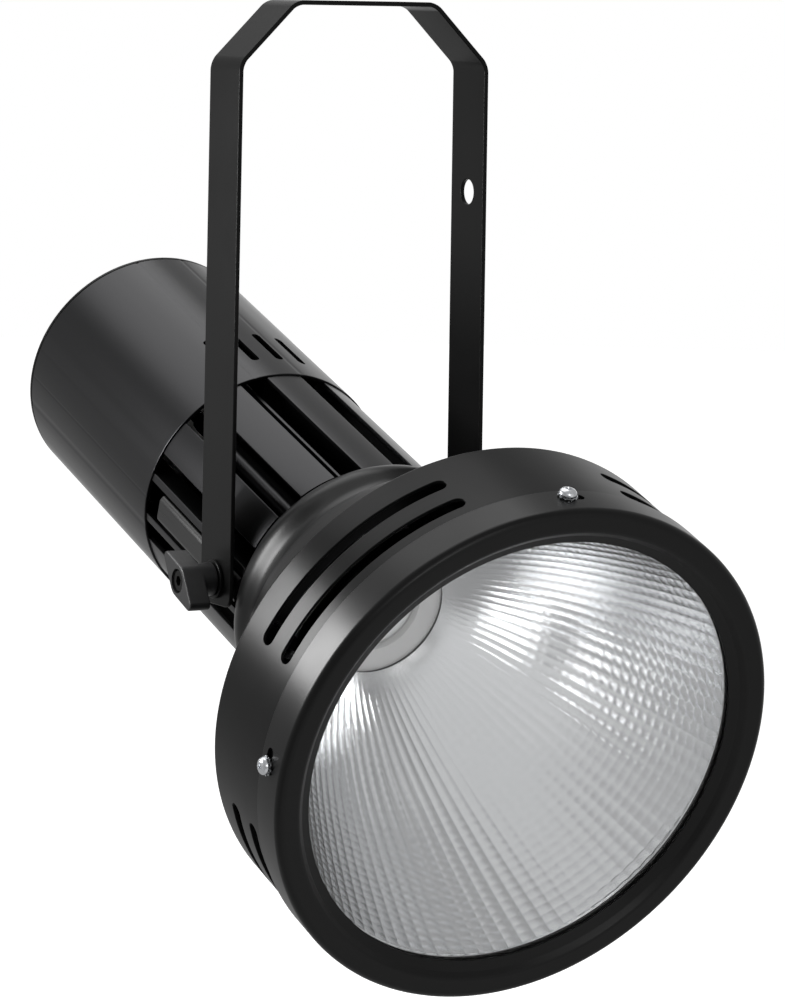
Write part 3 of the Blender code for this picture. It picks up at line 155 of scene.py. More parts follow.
# Each real material: its colour, the size and depth of its grain in mm, the range of its roughness, and the
# size in mm of the patches in which that varies. A squeeze draws the grain out along the lamp.
metal = {"Metallic": 1.0}
looks = {
    # Polyester powder baked on sheet steel: a deep even black with a faint sheen and a trace of orange peel.
    "powderCoat": {
        "colour": "#0b0b0b",
        "grain": (0.9, 0.003),
        "roughness": (0.27, 0.33),
        "patch": 35,
        "shader": {"Specular IOR Level": 0.1},
    },
    # Enamel sprayed on spun shells: black, with a brighter sheen than the powder.
    "satinEnamel": {
        "colour": "#090909",
        "grain": (1.4, 0.003),
        "roughness": (0.29, 0.34),
        "patch": 30,
        "shader": {"Specular IOR Level": 0.2},
    },
    # Extruded aluminium, etched and anodised black: a metal sheen under the dye. Its faint draw lines along the
    # lamp are coarser than the real ones, so that they show.
    "blackAnodised": {
        "colour": "#313132",
        "grain": (0.5, 0.003),
        "squeeze": 0.01,
        "roughness": (0.27, 0.34),
        "patch": 12,
        "shader": metal,
    },
    # Bright zinc plate on pressed steel: a bluish white metal, a little cloudy.
    "zincPlate": {
        "colour": "#cfd1d4",
        "grain": (0.25, 0.004),
        "roughness": (0.16, 0.30),
        "patch": 1.5,
        "shader": metal,
    },
    # Cold-drawn steel bar, blackened: a dark brushed metal, a little worn to grey.
    "blackenedSteel": {
        "colour": "#424242",
        "grain": (0.35, 0.01),
        "squeeze": 0.04,
        "roughness": (0.26, 0.42),
        "patch": 4,
        "shader": metal,
    },
    # Glass-filled nylon from a textured mould: matt black with a fine even grain.
    "mouldedNylon": {"colour": "#131314", "grain": (0.35, 0.02), "roughness": (0.42, 0.52), "patch": 4},
    # Moulded silicone rubber: dull black, a little dusty.
    "siliconeRubber": {"colour": "#0c0c0c", "grain": (0.8, 0.01), "roughness": (0.68, 0.82), "patch": 6},
    # Spun aluminium, brightened and anodised: a mirror with a slight haze, so that each facet holds a soft
    # picture.
    "brightAluminium": {
        "colour": "#f1f2f3",
        "grain": (1.2, 0.0006),
        "roughness": (0.05, 0.08),
        "patch": 9,
        "shader": metal,
    },
    # Milled aluminium plate: plain grey metal with a satin face.
    "milledAluminium": {
        "colour": "#b4b5b6",
        "grain": (0.3, 0.006),
        "roughness": (0.30, 0.42),
        "patch": 5,
        "shader": metal,
    },
    # Moulded white polymer of the light source's holder: smooth and neutral.
    "whitePolymer": {"colour": "#d8d8d8", "grain": (0.4, 0.005), "roughness": (0.42, 0.5), "patch": 5},
    # Silicone with a pale phosphor over the chips: matt, a shade lighter than its holder.
    "phosphorSilicone": {
        "colour": "#f2f2f0",
        "grain": (0.6, 0.01),
        "roughness": (0.5, 0.6),
        "patch": 3,
        "shader": {"Subsurface Weight": 0.1},
    },
    # Off-white moulded case of the driver, with the fine spark texture of its mould.
    "driverCase": {"colour": "#cfcfca", "grain": (0.5, 0.03), "roughness": (0.5, 0.6), "patch": 8},
}


def makeFinish(name):
    look = looks[name]
    finish, tree, shader = newFinish(name, {"Base Color": linear(look["colour"]), **look.get("shader", {})})
    if "squeeze" in look:
        vector = alongLamp(tree, look["squeeze"])
    else:
        vector = addNode(tree, "ShaderNodeTexCoord").outputs["Object"]
    addGrain(tree, shader, vector, *look["grain"])
    addPatches(tree, shader, vector, look["patch"], *look["roughness"])
    return finish


# The brightening reaches the bowl's deep heel beside the light source less, so that is duller.
heel = {"dullest": 136, "ends": 129, "haze": 0.2}  # stations, and the roughness at the dullest


def dullHeel():
    tree = finishes["brightAluminium"].node_tree
    roughness = tree.nodes["Principled BSDF"].inputs["Roughness"]
    depth = addNode(tree, "ShaderNodeSeparateXYZ", links={"Vector": alongLamp(tree)})
    haze = addNode(
        tree,
        "ShaderNodeMapRange",
        {
            "From Min": station(heel["dullest"]),
            "From Max": station(heel["ends"]),
            "To Min": heel["haze"],
            "To Max": 0.0,
        },
        {"Value": depth.outputs["Z"]},
    )
    duller = addNode(
        tree,
        "ShaderNodeMath",
        {"operation": "MAXIMUM"},
        {0: roughness.links[0].from_socket, 1: haze.outputs["Result"]},
    )
    tree.links.new(duller.outputs["Value"], roughness)


# Toughened float glass: clear, its faces polished. Lamplight passes it straight, as through a thin pane.
def toughenedGlass():
    look = {"tint": "#fefefe", "roughness": 0.0, "ior": 1.5}
    finish, tree, shader = newFinish(
        "toughenedGlass",
        {
            "Base Color": linear(look["tint"]),
            "Roughness": look["roughness"],
            "IOR": look["ior"],
            "Transmission Weight": 1.0,
        },
    )
    path = addNode(tree, "ShaderNodeLightPath")
    clear = addNode(tree, "ShaderNodeBsdfTransparent", {"Color": linear(look["tint"])})
    straight = addNode(
        tree,
        "ShaderNodeMath",
        {"operation": "MAXIMUM"},
        {0: path.outputs["Is Shadow Ray"], 1: path.outputs["Is Diffuse Ray"]},
    )
    mix = addNode(
        tree,
        "ShaderNodeMixShader",
        links={0: straight.outputs[0], 1: shader.outputs[0], 2: clear.outputs[0]},
    )
    tree.links.new(mix.outputs[0], tree.nodes["Material Output"].inputs["Surface"])
    return finish


finishes = {name: makeFinish(name) for name in looks}
finishes["toughenedGlass"] = toughenedGlass()
dullHeel()
print("finishes made")


# Shapes.
zToX = Matrix.Rotation(math.radians(90), 4, "Y")


def aboutZ(degrees):
    return Matrix.Rotation(math.radians(degrees), 4, "Z")


def lifted(z):
    return Matrix.Translation((0, 0, z))


# A place beside the lamp's axis, with the radius in mm and z in metres.
def offAxis(radius, degrees, z=0.0):
    angle = math.radians(degrees)
    return Matrix.Translation((radius * mm * math.cos(angle), radius * mm * math.sin(angle), z))


# Angles of pieces spaced evenly round the axis.
def evenly(count, start=0.0):
    return [start + 360 / count * i for i in range(count)]


# Corners are (x, y) or (x, y, radius); those with a radius become arcs.
def rounded(corners, steps=4):
    points = []
    for i, corner in enumerate(corners):
        here = Vector(corner[:2])
        if len(corner) == 2 or corner[2] <= 0:
            points.append(here)
            continue
        back = (Vector(corners[i - 1][:2]) - here).normalized()
        on = (Vector(corners[(i + 1) % len(corners)][:2]) - here).normalized()
        half = back.angle(on) / 2
        reach = corner[2] / math.tan(half)
        middle = here + (back + on).normalized() * (corner[2] / math.sin(half))
        spoke = here + back * reach - middle
        turn = spoke.angle_signed(here + on * reach - middle)
        for k in range(steps + 1):
            swung = spoke.copy()
            swung.rotate(Matrix.Rotation(-turn * k / steps, 2))
            points.append(middle + swung)
    return [(point.x, point.y) for point in points]


def arcPoints(centre, radius, start, end, steps):
    angles = [math.radians(start + (end - start) * k / steps) for k in range(steps + 1)]
    return [(centre[0] + radius * math.cos(a), centre[1] + radius * math.sin(a)) for a in angles]


# Turns (x, z) points in metres round Z. A closed outline makes a ring, an open one from axis to axis a solid.
def turned(points, closed=True, steps=48):
    shape = bmesh.new()
    verts = [shape.verts.new((x, 0, z)) for x, z in points]
    pairs = list(zip(verts, verts[1:])) + ([(verts[-1], verts[0])] if closed else [])
    edges = [shape.edges.new(pair) for pair in pairs]
    bmesh.ops.spin(
        shape,
        geom=verts + edges,
        cent=(0, 0, 0),
        axis=(0, 0, 1),
        angle=2 * math.pi,
        steps=steps,
        use_merge=True,
        use_duplicate=False,
    )
    bmesh.ops.remove_doubles(shape, verts=shape.verts, dist=0.01 * mm)
    bmesh.ops.dissolve_degenerate(shape, edges=shape.edges, dist=0.001 * mm)
    bmesh.ops.recalc_face_normals(shape, faces=shape.faces)
    return shape


# Turns (radius, station) corners, in mm, round the lamp's axis.
def turnedOnLamp(corners, closed=True, steps=None, arcSteps=4):
    points = [(r * mm, station(s)) for r, s in rounded(corners, arcSteps)]
    return turned(points, closed, steps or lamp["steps"])


# The four corners of a ring's section, each with its rounding.
def ringSection(bore, outer, start, end, bends):
    places = ((bore, start), (outer, start), (outer, end), (bore, end))
    return [(*corner, bend) for corner, bend in zip(places, bends)]


# Turns (radius, height) corners, in mm, round Z.
def turnedUp(corners, closed=True):
    return turned([(x * mm, z * mm) for x, z in rounded(corners)], closed)


# Moves the new vertices of an extrusion.
def pushed(shape, grown, way):
    moved = [item for item in grown["geom"] if isinstance(item, bmesh.types.BMVert)]
    bmesh.ops.translate(shape, verts=moved, vec=way)


def bevelled(shape, geom, offset, segments, affect="EDGES"):
    bmesh.ops.bevel(
        shape, geom=geom, offset=offset, affect=affect, segments=segments, profile=0.5, material=-1
    )


# A flat outline in mm, thickened from low to high along Z, both in metres.
def slab(outline, low, high):
    shape = bmesh.new()
    face = shape.faces.new([shape.verts.new((x * mm, y * mm, low)) for x, y in outline])
    pushed(shape, bmesh.ops.extrude_face_region(shape, geom=[face]), (0, 0, high - low))
    bmesh.ops.recalc_face_normals(shape, faces=shape.faces)
    return shape


def rod(radius, low, high, steps=32, place=Matrix()):
    shape = bmesh.new()
    bmesh.ops.create_cone(
        shape, cap_ends=True, segments=steps, radius1=radius, radius2=radius, depth=high - low
    )
    bmesh.ops.translate(shape, verts=shape.verts, vec=(0, 0, (low + high) / 2))
    shape.transform(place)
    return shape


def block(size, centre, place=Matrix()):
    shape = bmesh.new()
    bmesh.ops.create_cube(shape, size=1)
    bmesh.ops.scale(shape, verts=shape.verts, vec=size)
    bmesh.ops.translate(shape, verts=shape.verts, vec=centre)
    shape.transform(place)
    return shape


def joined(shapes):
    mesh = bpy.data.meshes.new("joined")
    whole = bmesh.new()
    for shape in shapes:
        shape.to_mesh(mesh)
        shape.free()
        whole.from_mesh(mesh)
    bpy.data.meshes.remove(mesh)
    return whole


def asObject(shape, name):
    mesh = bpy.data.meshes.new(name)
    shape.to_mesh(mesh)
    shape.free()
    made = bpy.data.objects.new(name, mesh)
    bpy.context.scene.collection.objects.link(made)
    return made


# The shape of an object with its modifiers.
def evaluated(made):
    graph = bpy.context.evaluated_depsgraph_get()
    mesh = bpy.data.meshes.new_from_object(made.evaluated_get(graph))
    result = bmesh.new()
    result.from_mesh(mesh)
    bpy.data.meshes.remove(mesh)
    return result


def combined(shape, tools, operation="DIFFERENCE"):
    blank = asObject(shape, "blank")
    helpers = [asObject(tool, "tool") for tool in tools]
    for helper in helpers:
        cut = blank.modifiers.new("cut", "BOOLEAN")
        cut.operation = operation
        cut.solver = "EXACT"
        cut.object = helper
    result = evaluated(blank)
    for made in helpers + [blank]:
        bpy.data.objects.remove(made)
    return result


# Breaks the edges that are sharper than an angle.
def softened(shape, width, sharper=50, segments=3):
    shape.edges.ensure_lookup_table()
    edges = [e for e in shape.edges if len(e.link_faces) == 2 and e.calc_face_angle() > math.radians(sharper)]
    bevelled(shape, edges, width * mm, segments)
    return shape


# Normals that follow the large faces, and on round pieces the true circle, so that long walls shade evenly.
def evenNormals(mesh, place, smooth, onCircle):
    limit = math.cos(math.radians(smooth))
    back = place.inverted()
    turn = back.to_3x3()
    facing = [turn @ face.normal for face in mesh.polygons]
    around = [[] for vert in mesh.vertices]
    for face in mesh.polygons:
        for number in face.vertices:
            around[number].append(face.index)
    normals = []
    for face in mesh.polygons:
        for loop in face.loop_indices:
            number = mesh.loops[loop].vertex_index
            total = Vector((0, 0, 0))
            for other in around[number]:
                if facing[face.index].dot(facing[other]) > limit:
                    total += facing[other] * mesh.polygons[other].area
            spoke = (back @ mesh.vertices[number].co).to_2d()
            if onCircle and total.xy.length > 0.02 * total.length and spoke.length > mm:
                spoke.normalize()
                way = total.xy.normalized().dot(spoke)
                if abs(way) > 0.995:
                    spoke *= math.copysign(total.xy.length, way)
                    total = Vector((spoke.x, spoke.y, total.z))
            normals.append(place.to_3x3() @ total.normalized())
    mesh.normals_split_custom_set(normals)


def addPiece(name, shape, finish, nodes, place=lampPlace, smooth=32, even=True, onCircle=False):
    shape.transform(place)
    shape.normal_update()
    piece = asObject(shape, name)
    piece.data.materials.append(finishes[finish])
    piece.data.shade_smooth()
    piece.data.set_sharp_from_angle(angle=math.radians(smooth))
    if even:
        evenNormals(piece.data, place, smooth, onCircle)
    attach(piece, bodyOf[nodes[0]])
    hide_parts(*nodes)
    return piece


# Z outwards from the lamp at an angle round its axis, X backwards along it.
def outwards(degrees, at=None):
    turn = aboutZ(degrees) @ zToX
    return turn if at is None else lifted(station(at)) @ turn


# A round-ended slot bent round the lamp: a flat tab with its corners rounded, then rolled to the radius.
def bentSlot(radius, at, width, start, end, columns, depth):
    length = math.radians(end - start) * radius
    shape = bmesh.new()
    bmesh.ops.create_grid(shape, x_segments=columns, y_segments=1, size=0.5)
    bmesh.ops.scale(shape, verts=shape.verts, vec=(length * mm, width * mm, 1))
    corners = [v for v in shape.verts if len(v.link_edges) == 2]
    bevelled(shape, corners, width / 2 * mm * 0.999, 8, "VERTICES")
    pushed(shape, bmesh.ops.extrude_face_region(shape, geom=shape.faces[:]), (0, 0, 2 * depth * mm))
    middle = math.radians((start + end) / 2)
    for vert in shape.verts:
        angle = middle + vert.co.x / (radius * mm)
        out = (radius - depth) * mm + vert.co.z
        vert.co = (out * math.cos(angle), out * math.sin(angle), station(at) + vert.co.y)
    bmesh.ops.recalc_face_normals(shape, faces=shape.faces)
    return shape


# The top of a pan head, as shares of its radius and height, and its cross recess.
panHead = {
    "dome": ((0, 1), (0.45, 0.965), (0.75, 0.82), (0.93, 0.56), (1, 0.22)),
    "recess": (1.15, 0.27, 1.2),  # length and width over the head's radius, depth over its height
    "recessLift": 1.05,
    "recessTaper": 0.45,
    "recessTurns": (20, 110),
}


# Pan-head screw on Z 0, head up.
def panScrew(radius, length, headRadius, headHeight, pointed=False, steps=40):
    outline = [(headRadius * x, headHeight * z) for x, z in panHead["dome"]]
    outline += [(headRadius * 0.985, 0.05), (headRadius * 0.95, 0), (radius, 0)]
    if pointed:
        outline += [(radius, 2 * radius - length), (0, -length)]
    else:
        outline += [(radius, 0.3 - length), (radius - 0.3, -length), (0, -length)]
    shape = turned([(x * mm, z * mm) for x, z in outline], closed=False, steps=steps)
    long, wide, deep = panHead["recess"]
    slots = []
    for turn in panHead["recessTurns"]:
        slot = block(
            (headRadius * long * mm, headRadius * wide * mm, headHeight * deep * mm),
            (0, 0, headHeight * panHead["recessLift"] * mm),
            aboutZ(turn),
        )
        low = [v for v in slot.verts if v.co.z < headHeight * mm]
        bmesh.ops.scale(slot, verts=low, vec=(panHead["recessTaper"], panHead["recessTaper"], 1))
        slots.append(slot)
    return combined(shape, slots)


# Lock washer with outside teeth, each twisted a little out of the flat.
def toothedWasher(outer, bore, teeth, thickness, bite, twist):
    outline = []
    for i in range(teeth):
        for share, radius in ((-0.36, outer - bite), (-0.23, outer), (0.23, outer), (0.36, outer - bite)):
            angle = 2 * math.pi * (i + share) / teeth
            outline.append((radius * math.cos(angle), radius * math.sin(angle)))
    shape = combined(slab(outline, 0, thickness * mm), [rod(bore * mm, -mm, 2 * mm, 32)])
    for vert in shape.verts:
        if vert.co.xy.length > (outer - bite / 2) * mm:
            angle = math.degrees(math.atan2(vert.co.y, vert.co.x))
            tooth = round(angle * teeth / 360) * 360 / teeth
            vert.co.z += math.copysign(twist * mm, angle - tooth)
    return softened(shape, 0.08, 60, 1)


# Bracket: one flat strip, bent four times, its feet rounded.
bracket = {
    "width": 28.5,
    "thickness": 2.0,
    "footHalf": 63.16,  # from the middle to the outside of a leg, at its foot
    "topHalf": 61.8,
    "chamfer": (27, 27),
    "footDrop": 263.8,
    "footCorner": 5,
    "bendRadius": 9,
    "clampHole": 10.5,
    "safetyHole": 11.2,
    "safetyHoleDrop": 83.9,
    "pivotHole": 8.8,
    "edge": 0.45,
}


def makeBracket():
    leg = [
        (bracket["footHalf"], -bracket["footDrop"]),
        (bracket["topHalf"], -bracket["chamfer"][1]),
        (bracket["topHalf"] - bracket["chamfer"][0], 0),
    ]
    path = [(-x, z) for x, z in leg] + leg[::-1]
    half = bracket["width"] / 2
    shape = bmesh.new()
    verts = [shape.verts.new((x * mm, -half * mm, z * mm)) for x, z in path]
    wire = [shape.edges.new(pair) for pair in zip(verts, verts[1:])]
    pushed(shape, bmesh.ops.extrude_edge_only(shape, edges=wire), (0, 2 * half * mm, 0))
    bmesh.ops.recalc_face_normals(shape, faces=shape.faces)
    # Each of the four bends turns the strip by about 45 degrees.
    creases = [e for e in shape.edges if len(e.link_faces) == 2]
    bevelled(shape, creases, bracket["bendRadius"] * math.tan(math.radians(22.5)) * mm, 10)
    feet = [v for v in shape.verts if len(v.link_edges) == 2 and v.co.z < pivot.z]
    bevelled(shape, feet, bracket["footCorner"] * mm, 8, "VERTICES")
    top = max(shape.faces, key=lambda face: face.calc_center_median().z)
    if top.normal.z < 0:
        bmesh.ops.reverse_faces(shape, faces=shape.faces)
    strip = asObject(shape, "strip")
    wall = strip.modifiers.new("wall", "SOLIDIFY")
    wall.thickness = bracket["thickness"] * mm
    wall.offset = -1
    wall.use_even_offset = True
    solid = evaluated(strip)
    bpy.data.objects.remove(strip)
    reach = 0.1
    safetyPlace = lifted(-bracket["safetyHoleDrop"] * mm)
    holes = [
        rod(bracket["clampHole"] / 2 * mm, -0.01, 0.01, 48),
        rod(bracket["safetyHole"] / 2 * mm, 0, reach, 48, safetyPlace @ zToX),
        rod(bracket["pivotHole"] / 2 * mm, -reach, reach, 48, Matrix.Translation(pivot) @ zToX),
    ]
    shape = combined(solid, holes)
    softened(shape, bracket["edge"], 55)
    addPiece("bracketStrip", shape, "powderCoat", ["yoke_bracket"], Matrix())


makeBracket()
print("bracket made")


# Front bezel: a pressed cap with a rounded edge, a flat annulus and a lip that holds the glass.
bezel = {
    "radius": 115,
    "wall": 1.2,
    "skirt": 19,
    "edge": 3.5,
    "flat": (105.2, 0.1),
    "bend": (102.7, 2.4),
    "opening": (98.6, 4.6),
    "screwStation": 13,
    "screws": 4,
    "slotLength": 10.2,
    "slotWidth": 4.6,
}


def makeBezel():
    radius, wall, edge, skirt = bezel["radius"], bezel["wall"], bezel["edge"], bezel["skirt"]
    flat, sunk = bezel["flat"]
    bend, bendAt = bezel["bend"]
    opening, openingAt = bezel["opening"]
    shape = turnedOnLamp(
        [
            (radius, skirt, 0.3),
            (radius, 0, edge),
            (flat, sunk, 2.5),
            (bend, bendAt, 0.6),
            (opening, openingAt, 0.35),
            (opening, openingAt + wall, 0.35),
            (bend + 0.3, bendAt + wall, 0.6),
            (flat, sunk + wall, 1.5),
            (radius - wall, wall, edge - wall),
            (radius - wall, skirt, 0.3),
        ],
        arcSteps=5,
    )
    wide = bezel["slotWidth"]
    lead = math.degrees(wide / 2 / radius)
    span = math.degrees(bezel["slotLength"] / radius)
    slots = []
    for angle in evenly(bezel["screws"]):
        end = angle + lead
        slots.append(bentSlot(radius, bezel["screwStation"], wide, end - span, end, 4, 2 * wall))
    shape = combined(shape, [joined(slots)])
    softened(shape, 0.18, 60)
    addPiece("bezel", shape, "satinEnamel", ["front_bezel"], onCircle=True)


makeBezel()
print("bezel made")


# Ring housing: a thin rolled wall with two rows of long air slots and a lip at the back.
ring = {
    "radius": 113.5,
    "wall": 1.5,
    "front": 8,
    "back": 65,
    "lipRadius": 101,
    "slotRows": (29.8, 46.5),
    "slotWidth": 7.1,
    "slotSpan": 51.5,
    "slotGroups": 4,
    "bezelScrewHole": 2.3,
    "bellScrewHole": 1.8,
}
bellScrew = {"count": 4, "circle": 105, "angle": 67.5, "radius": 1.5, "length": 14.5, "head": (2.9, 2.2)}


def bellScrewPlaces():
    return [offAxis(bellScrew["circle"], angle) for angle in evenly(bellScrew["count"], bellScrew["angle"])]


def makeRing():
    bore = ring["radius"] - ring["wall"]
    shape = turnedOnLamp(
        [
            (bore, ring["front"], 0.3),
            (ring["radius"], ring["front"], 0.3),
            (ring["radius"], ring["back"], 2.0),
            (ring["lipRadius"], ring["back"], 0.4),
            (ring["lipRadius"], ring["back"] - ring["wall"], 0.4),
            (bore, ring["back"] - ring["wall"], 0.5),
        ],
    )
    tools = []
    for at in ring["slotRows"]:
        for i in range(ring["slotGroups"]):
            middle = 360 / ring["slotGroups"] * (i + 0.5)
            half = ring["slotSpan"] / 2
            tools.append(bentSlot(ring["radius"], at, ring["slotWidth"], middle - half, middle + half, 26, 3))
    for angle in evenly(bezel["screws"]):
        place = outwards(angle, bezel["screwStation"])
        tools.append(rod(ring["bezelScrewHole"] * mm, (bore - 2) * mm, (ring["radius"] + 2) * mm, 24, place))
    back = station(ring["back"])
    for place in bellScrewPlaces():
        tools.append(rod(ring["bellScrewHole"] * mm, back - 0.002, back + 0.004, 24, place))
    shape = combined(shape, [joined(tools)])
    softened(shape, 0.3, 60)
    addPiece("ringWall", shape, "powderCoat", ["ring_housing"], onCircle=True)


makeRing()
print("ring made")


# Bell: spun from sheet, with a flare, a small step, a waist and a round shoulder against the heatsink.
bell = {
    "wall": 1.5,
    "flangeRadius": 108,
    "throat": 100.4,
    "step": (75, 119, 0.8),
    "flareSlope": 0.3,
    "waist": (63.3, 138),
    "neck": (64.7, 146.8),
    "shoulder": 13.6,
    "hole": 35.3,
}


# The bell's outside from its throat to its back wall, moved inwards.
def bellLine(inset):
    stepRadius, stepStation, stepDepth = bell["step"]
    length = stepStation - ring["back"]
    rise = bell["throat"] - stepRadius - bell["flareSlope"] * length
    line = []
    for k in range(13):
        reach = length * (1 - k / 12)
        line.append((stepRadius + bell["flareSlope"] * reach + rise * (reach / length) ** 2, stepStation - reach))
    waistRadius, waistStation = bell["waist"]
    start = stepStation + stepDepth
    for k in range(9):
        t = k / 8
        drop = stepRadius - stepDepth - waistRadius
        line.append((waistRadius + drop * (1 - t) ** 2, start + (waistStation - start) * t))
    neckRadius, neckStation = bell["neck"]
    for k in range(1, 6):
        t = k / 6
        line.append(
            (
                waistRadius + (neckRadius - waistRadius) * t * t * (3 - 2 * t),
                waistStation + (neckStation - waistStation) * t,
            )
        )
    line = [(radius - inset, at) for radius, at in line]
    centre = (neckRadius - bell["shoulder"], neckStation)
    return line + arcPoints(centre, bell["shoulder"] - inset, 0, 90, 14)


def makeBell():
    wall = bell["wall"]
    flangeBack = ring["back"] - ring["wall"] - lamp["gap"]
    back = bell["neck"][1] + bell["shoulder"]
    corners = [
        (bell["throat"] - wall, flangeBack - wall),
        (bell["flangeRadius"], flangeBack - wall),
        (bell["flangeRadius"], flangeBack),
        (bell["throat"], flangeBack),
    ]
    corners += bellLine(0)
    corners += [(bell["hole"], back), (bell["hole"], back - wall)]
    corners += bellLine(wall)[::-1]
    shape = turnedOnLamp(corners)
    addPiece("bellShell", shape, "satinEnamel", ["bell"], smooth=28)


makeBell()
print("bell made")


# Heatsink: an extrusion with a core, flanged and plain fins, screw ports and two slide channels.
sink = {
    "radius": 58.5,
    "core": 20,
    "front": 160.7,
    "back": 272,
    "fins": 12,
    "finThickness": 2.2,
    "flangeThickness": 2.2,
    "flangeHalf": 8.5,  # degrees
    "plainTip": 52,
    "lowTip": 40,
    "plainThickness": 1.8,
    "taper": 1.25,
    "portCircle": 42,
    "portRadius": 4.5,
    "portHole": 2.4,
    "channelHalf": 10,
    "channelWall": 1.7,
    "channelFloor": 48,
    "floorThickness": 2,
    "openingHalf": 8.1,
    "stemHalf": 3,
    "spigotRadius": 57.2,
    "spigotStation": 257.7,
}


def flipped(corners):
    return [(out, -side, *bend) for out, side, *bend in corners]


# One fin as (out, side) corners, in the direction of growing angle.
def finCorners(kind):
    root = sink["core"]
    if kind in ("plain", "low"):
        half = sink["plainThickness"] / 2
        tip = sink["plainTip"] if kind == "plain" else sink["lowTip"]
        foot = half * sink["taper"]
        return [(root, -foot, 0.8), (tip, -half, 0.6), (tip, half, 0.6), (root, foot, 0.8)]
    if kind == "port":
        half = sink["plainThickness"] / 2
        foot = half * sink["taper"]
        meet = 180 - math.degrees(math.asin(half / sink["portRadius"]))
        eye = arcPoints((sink["portCircle"], 0), sink["portRadius"], -meet, meet, 28)
        return [(root, -foot, 0.8)] + eye + [(root, foot, 0.8)]
    if kind == "flanged":
        half = sink["finThickness"] / 2
        foot = half * sink["taper"]
        span = sink["flangeHalf"]
        under = sink["radius"] - sink["flangeThickness"]
        inner = arcPoints((0, 0), under, -span, -math.degrees(half / under) - 0.8, 5)
        outer = arcPoints((0, 0), sink["radius"], -span, span, 12)
        inner[0] = (*inner[0], 0.35)
        outer[0] = (*outer[0], 0.35)
        outer[-1] = (*outer[-1], 0.35)
        neck = under - 0.1
        return (
            [(root, -foot, 0.8), (neck, -half, 0.6)]
            + inner[::-1]
            + outer
            + flipped(inner)
            + [(neck, half, 0.6), (root, foot, 0.8)]
        )
    stem = sink["stemHalf"]
    below = sink["channelFloor"] - sink["floorThickness"]
    outside = sink["channelHalf"] + sink["channelWall"]
    under = sink["radius"] - sink["flangeThickness"]
    lipOut = math.degrees(math.asin(outside / sink["radius"]))
    lipIn = math.degrees(math.asin(sink["openingHalf"] / sink["radius"]))
    lips = arcPoints((0, 0), sink["radius"], -lipOut, -lipIn, 3)
    lips[0] = (*lips[0], 0.35)
    lips[-1] = (*lips[-1], 0.35)
    lower = [(root, -stem * sink["taper"], 0.8), (below, -stem, 0.8), (below, -outside, 0.8)]
    lower += lips
    lower += [
        (math.sqrt(under**2 - sink["openingHalf"] ** 2), -sink["openingHalf"], 0.3),
        (math.sqrt(under**2 - sink["channelHalf"] ** 2), -sink["channelHalf"], 0.3),
        (sink["channelFloor"], -sink["channelHalf"], 0.5),
    ]
    return lower + flipped(lower[::-1])


def finKind(i):
    if i % 2 == 0:
        return "channel" if i % sink["fins"] == 0 else "flanged"
    if i % sink["fins"] in (1, sink["fins"] - 1):
        return "low"
    return "port" if i % 6 == 3 else "plain"


def portPlace(i, z=0.0):
    return offAxis(sink["portCircle"], 45 + 90 * i, z)


def makeHeatsink():
    corners = []
    for i in range(2 * sink["fins"]):
        angle = math.pi * i / sink["fins"]
        for out, side, *radius in finCorners(finKind(i)):
            corners.append(
                (
                    out * math.cos(angle) - side * math.sin(angle),
                    out * math.sin(angle) + side * math.cos(angle),
                    *radius,
                )
            )
    shape = slab(rounded(corners, 3), station(sink["back"]), station(sink["front"]))
    section = ringSection(
        sink["spigotRadius"], sink["radius"] + 10, sink["spigotStation"], sink["back"] + 10, (0, 0, 0, 0)
    )
    around = turnedOnLamp(section)
    low, high = station(sink["back"]) - 0.01, station(sink["front"]) + 0.01
    ports = [rod(sink["portHole"] * mm, low, high, 24, portPlace(i)) for i in range(4)]
    shape = combined(shape, [around, joined(ports)])
    addPiece("heatsinkFins", shape, "blackAnodised", ["heatsink"], smooth=26)


makeHeatsink()
print("heatsink made")


# Rear sleeve: an extruded tube with vents near its front edge. Its wall sinks a little over the ribs inside.
sleeve = {
    "radius": 59.3,
    "wall": 1.8,
    "front": 258,
    "back": 391.7,
    "ventStation": 288.6,
    "ventSize": (28.7, 4.2),
    "ventPitch": 12,
    "vents": 4,
    # degrees round the tube, width in degrees and depth in mm of each sink
    "sinks": (
        (81, 3.4, 0.10),
        (103.8, 3.4, 0.12),
        (166, 3.0, 0.05),
        (180, 1.0, 0.10),
        (194, 5.0, 0.14),
        (261, 3.4, 0.10),
        (283.8, 3.4, 0.12),
        (346, 5.0, 0.14),
        (0, 1.0, 0.10),
        (14, 3.0, 0.05),
    ),
    "notches": (81, 103.8, 261, 283.8),
    "notchSize": (1.6, 1.3, 6),
}


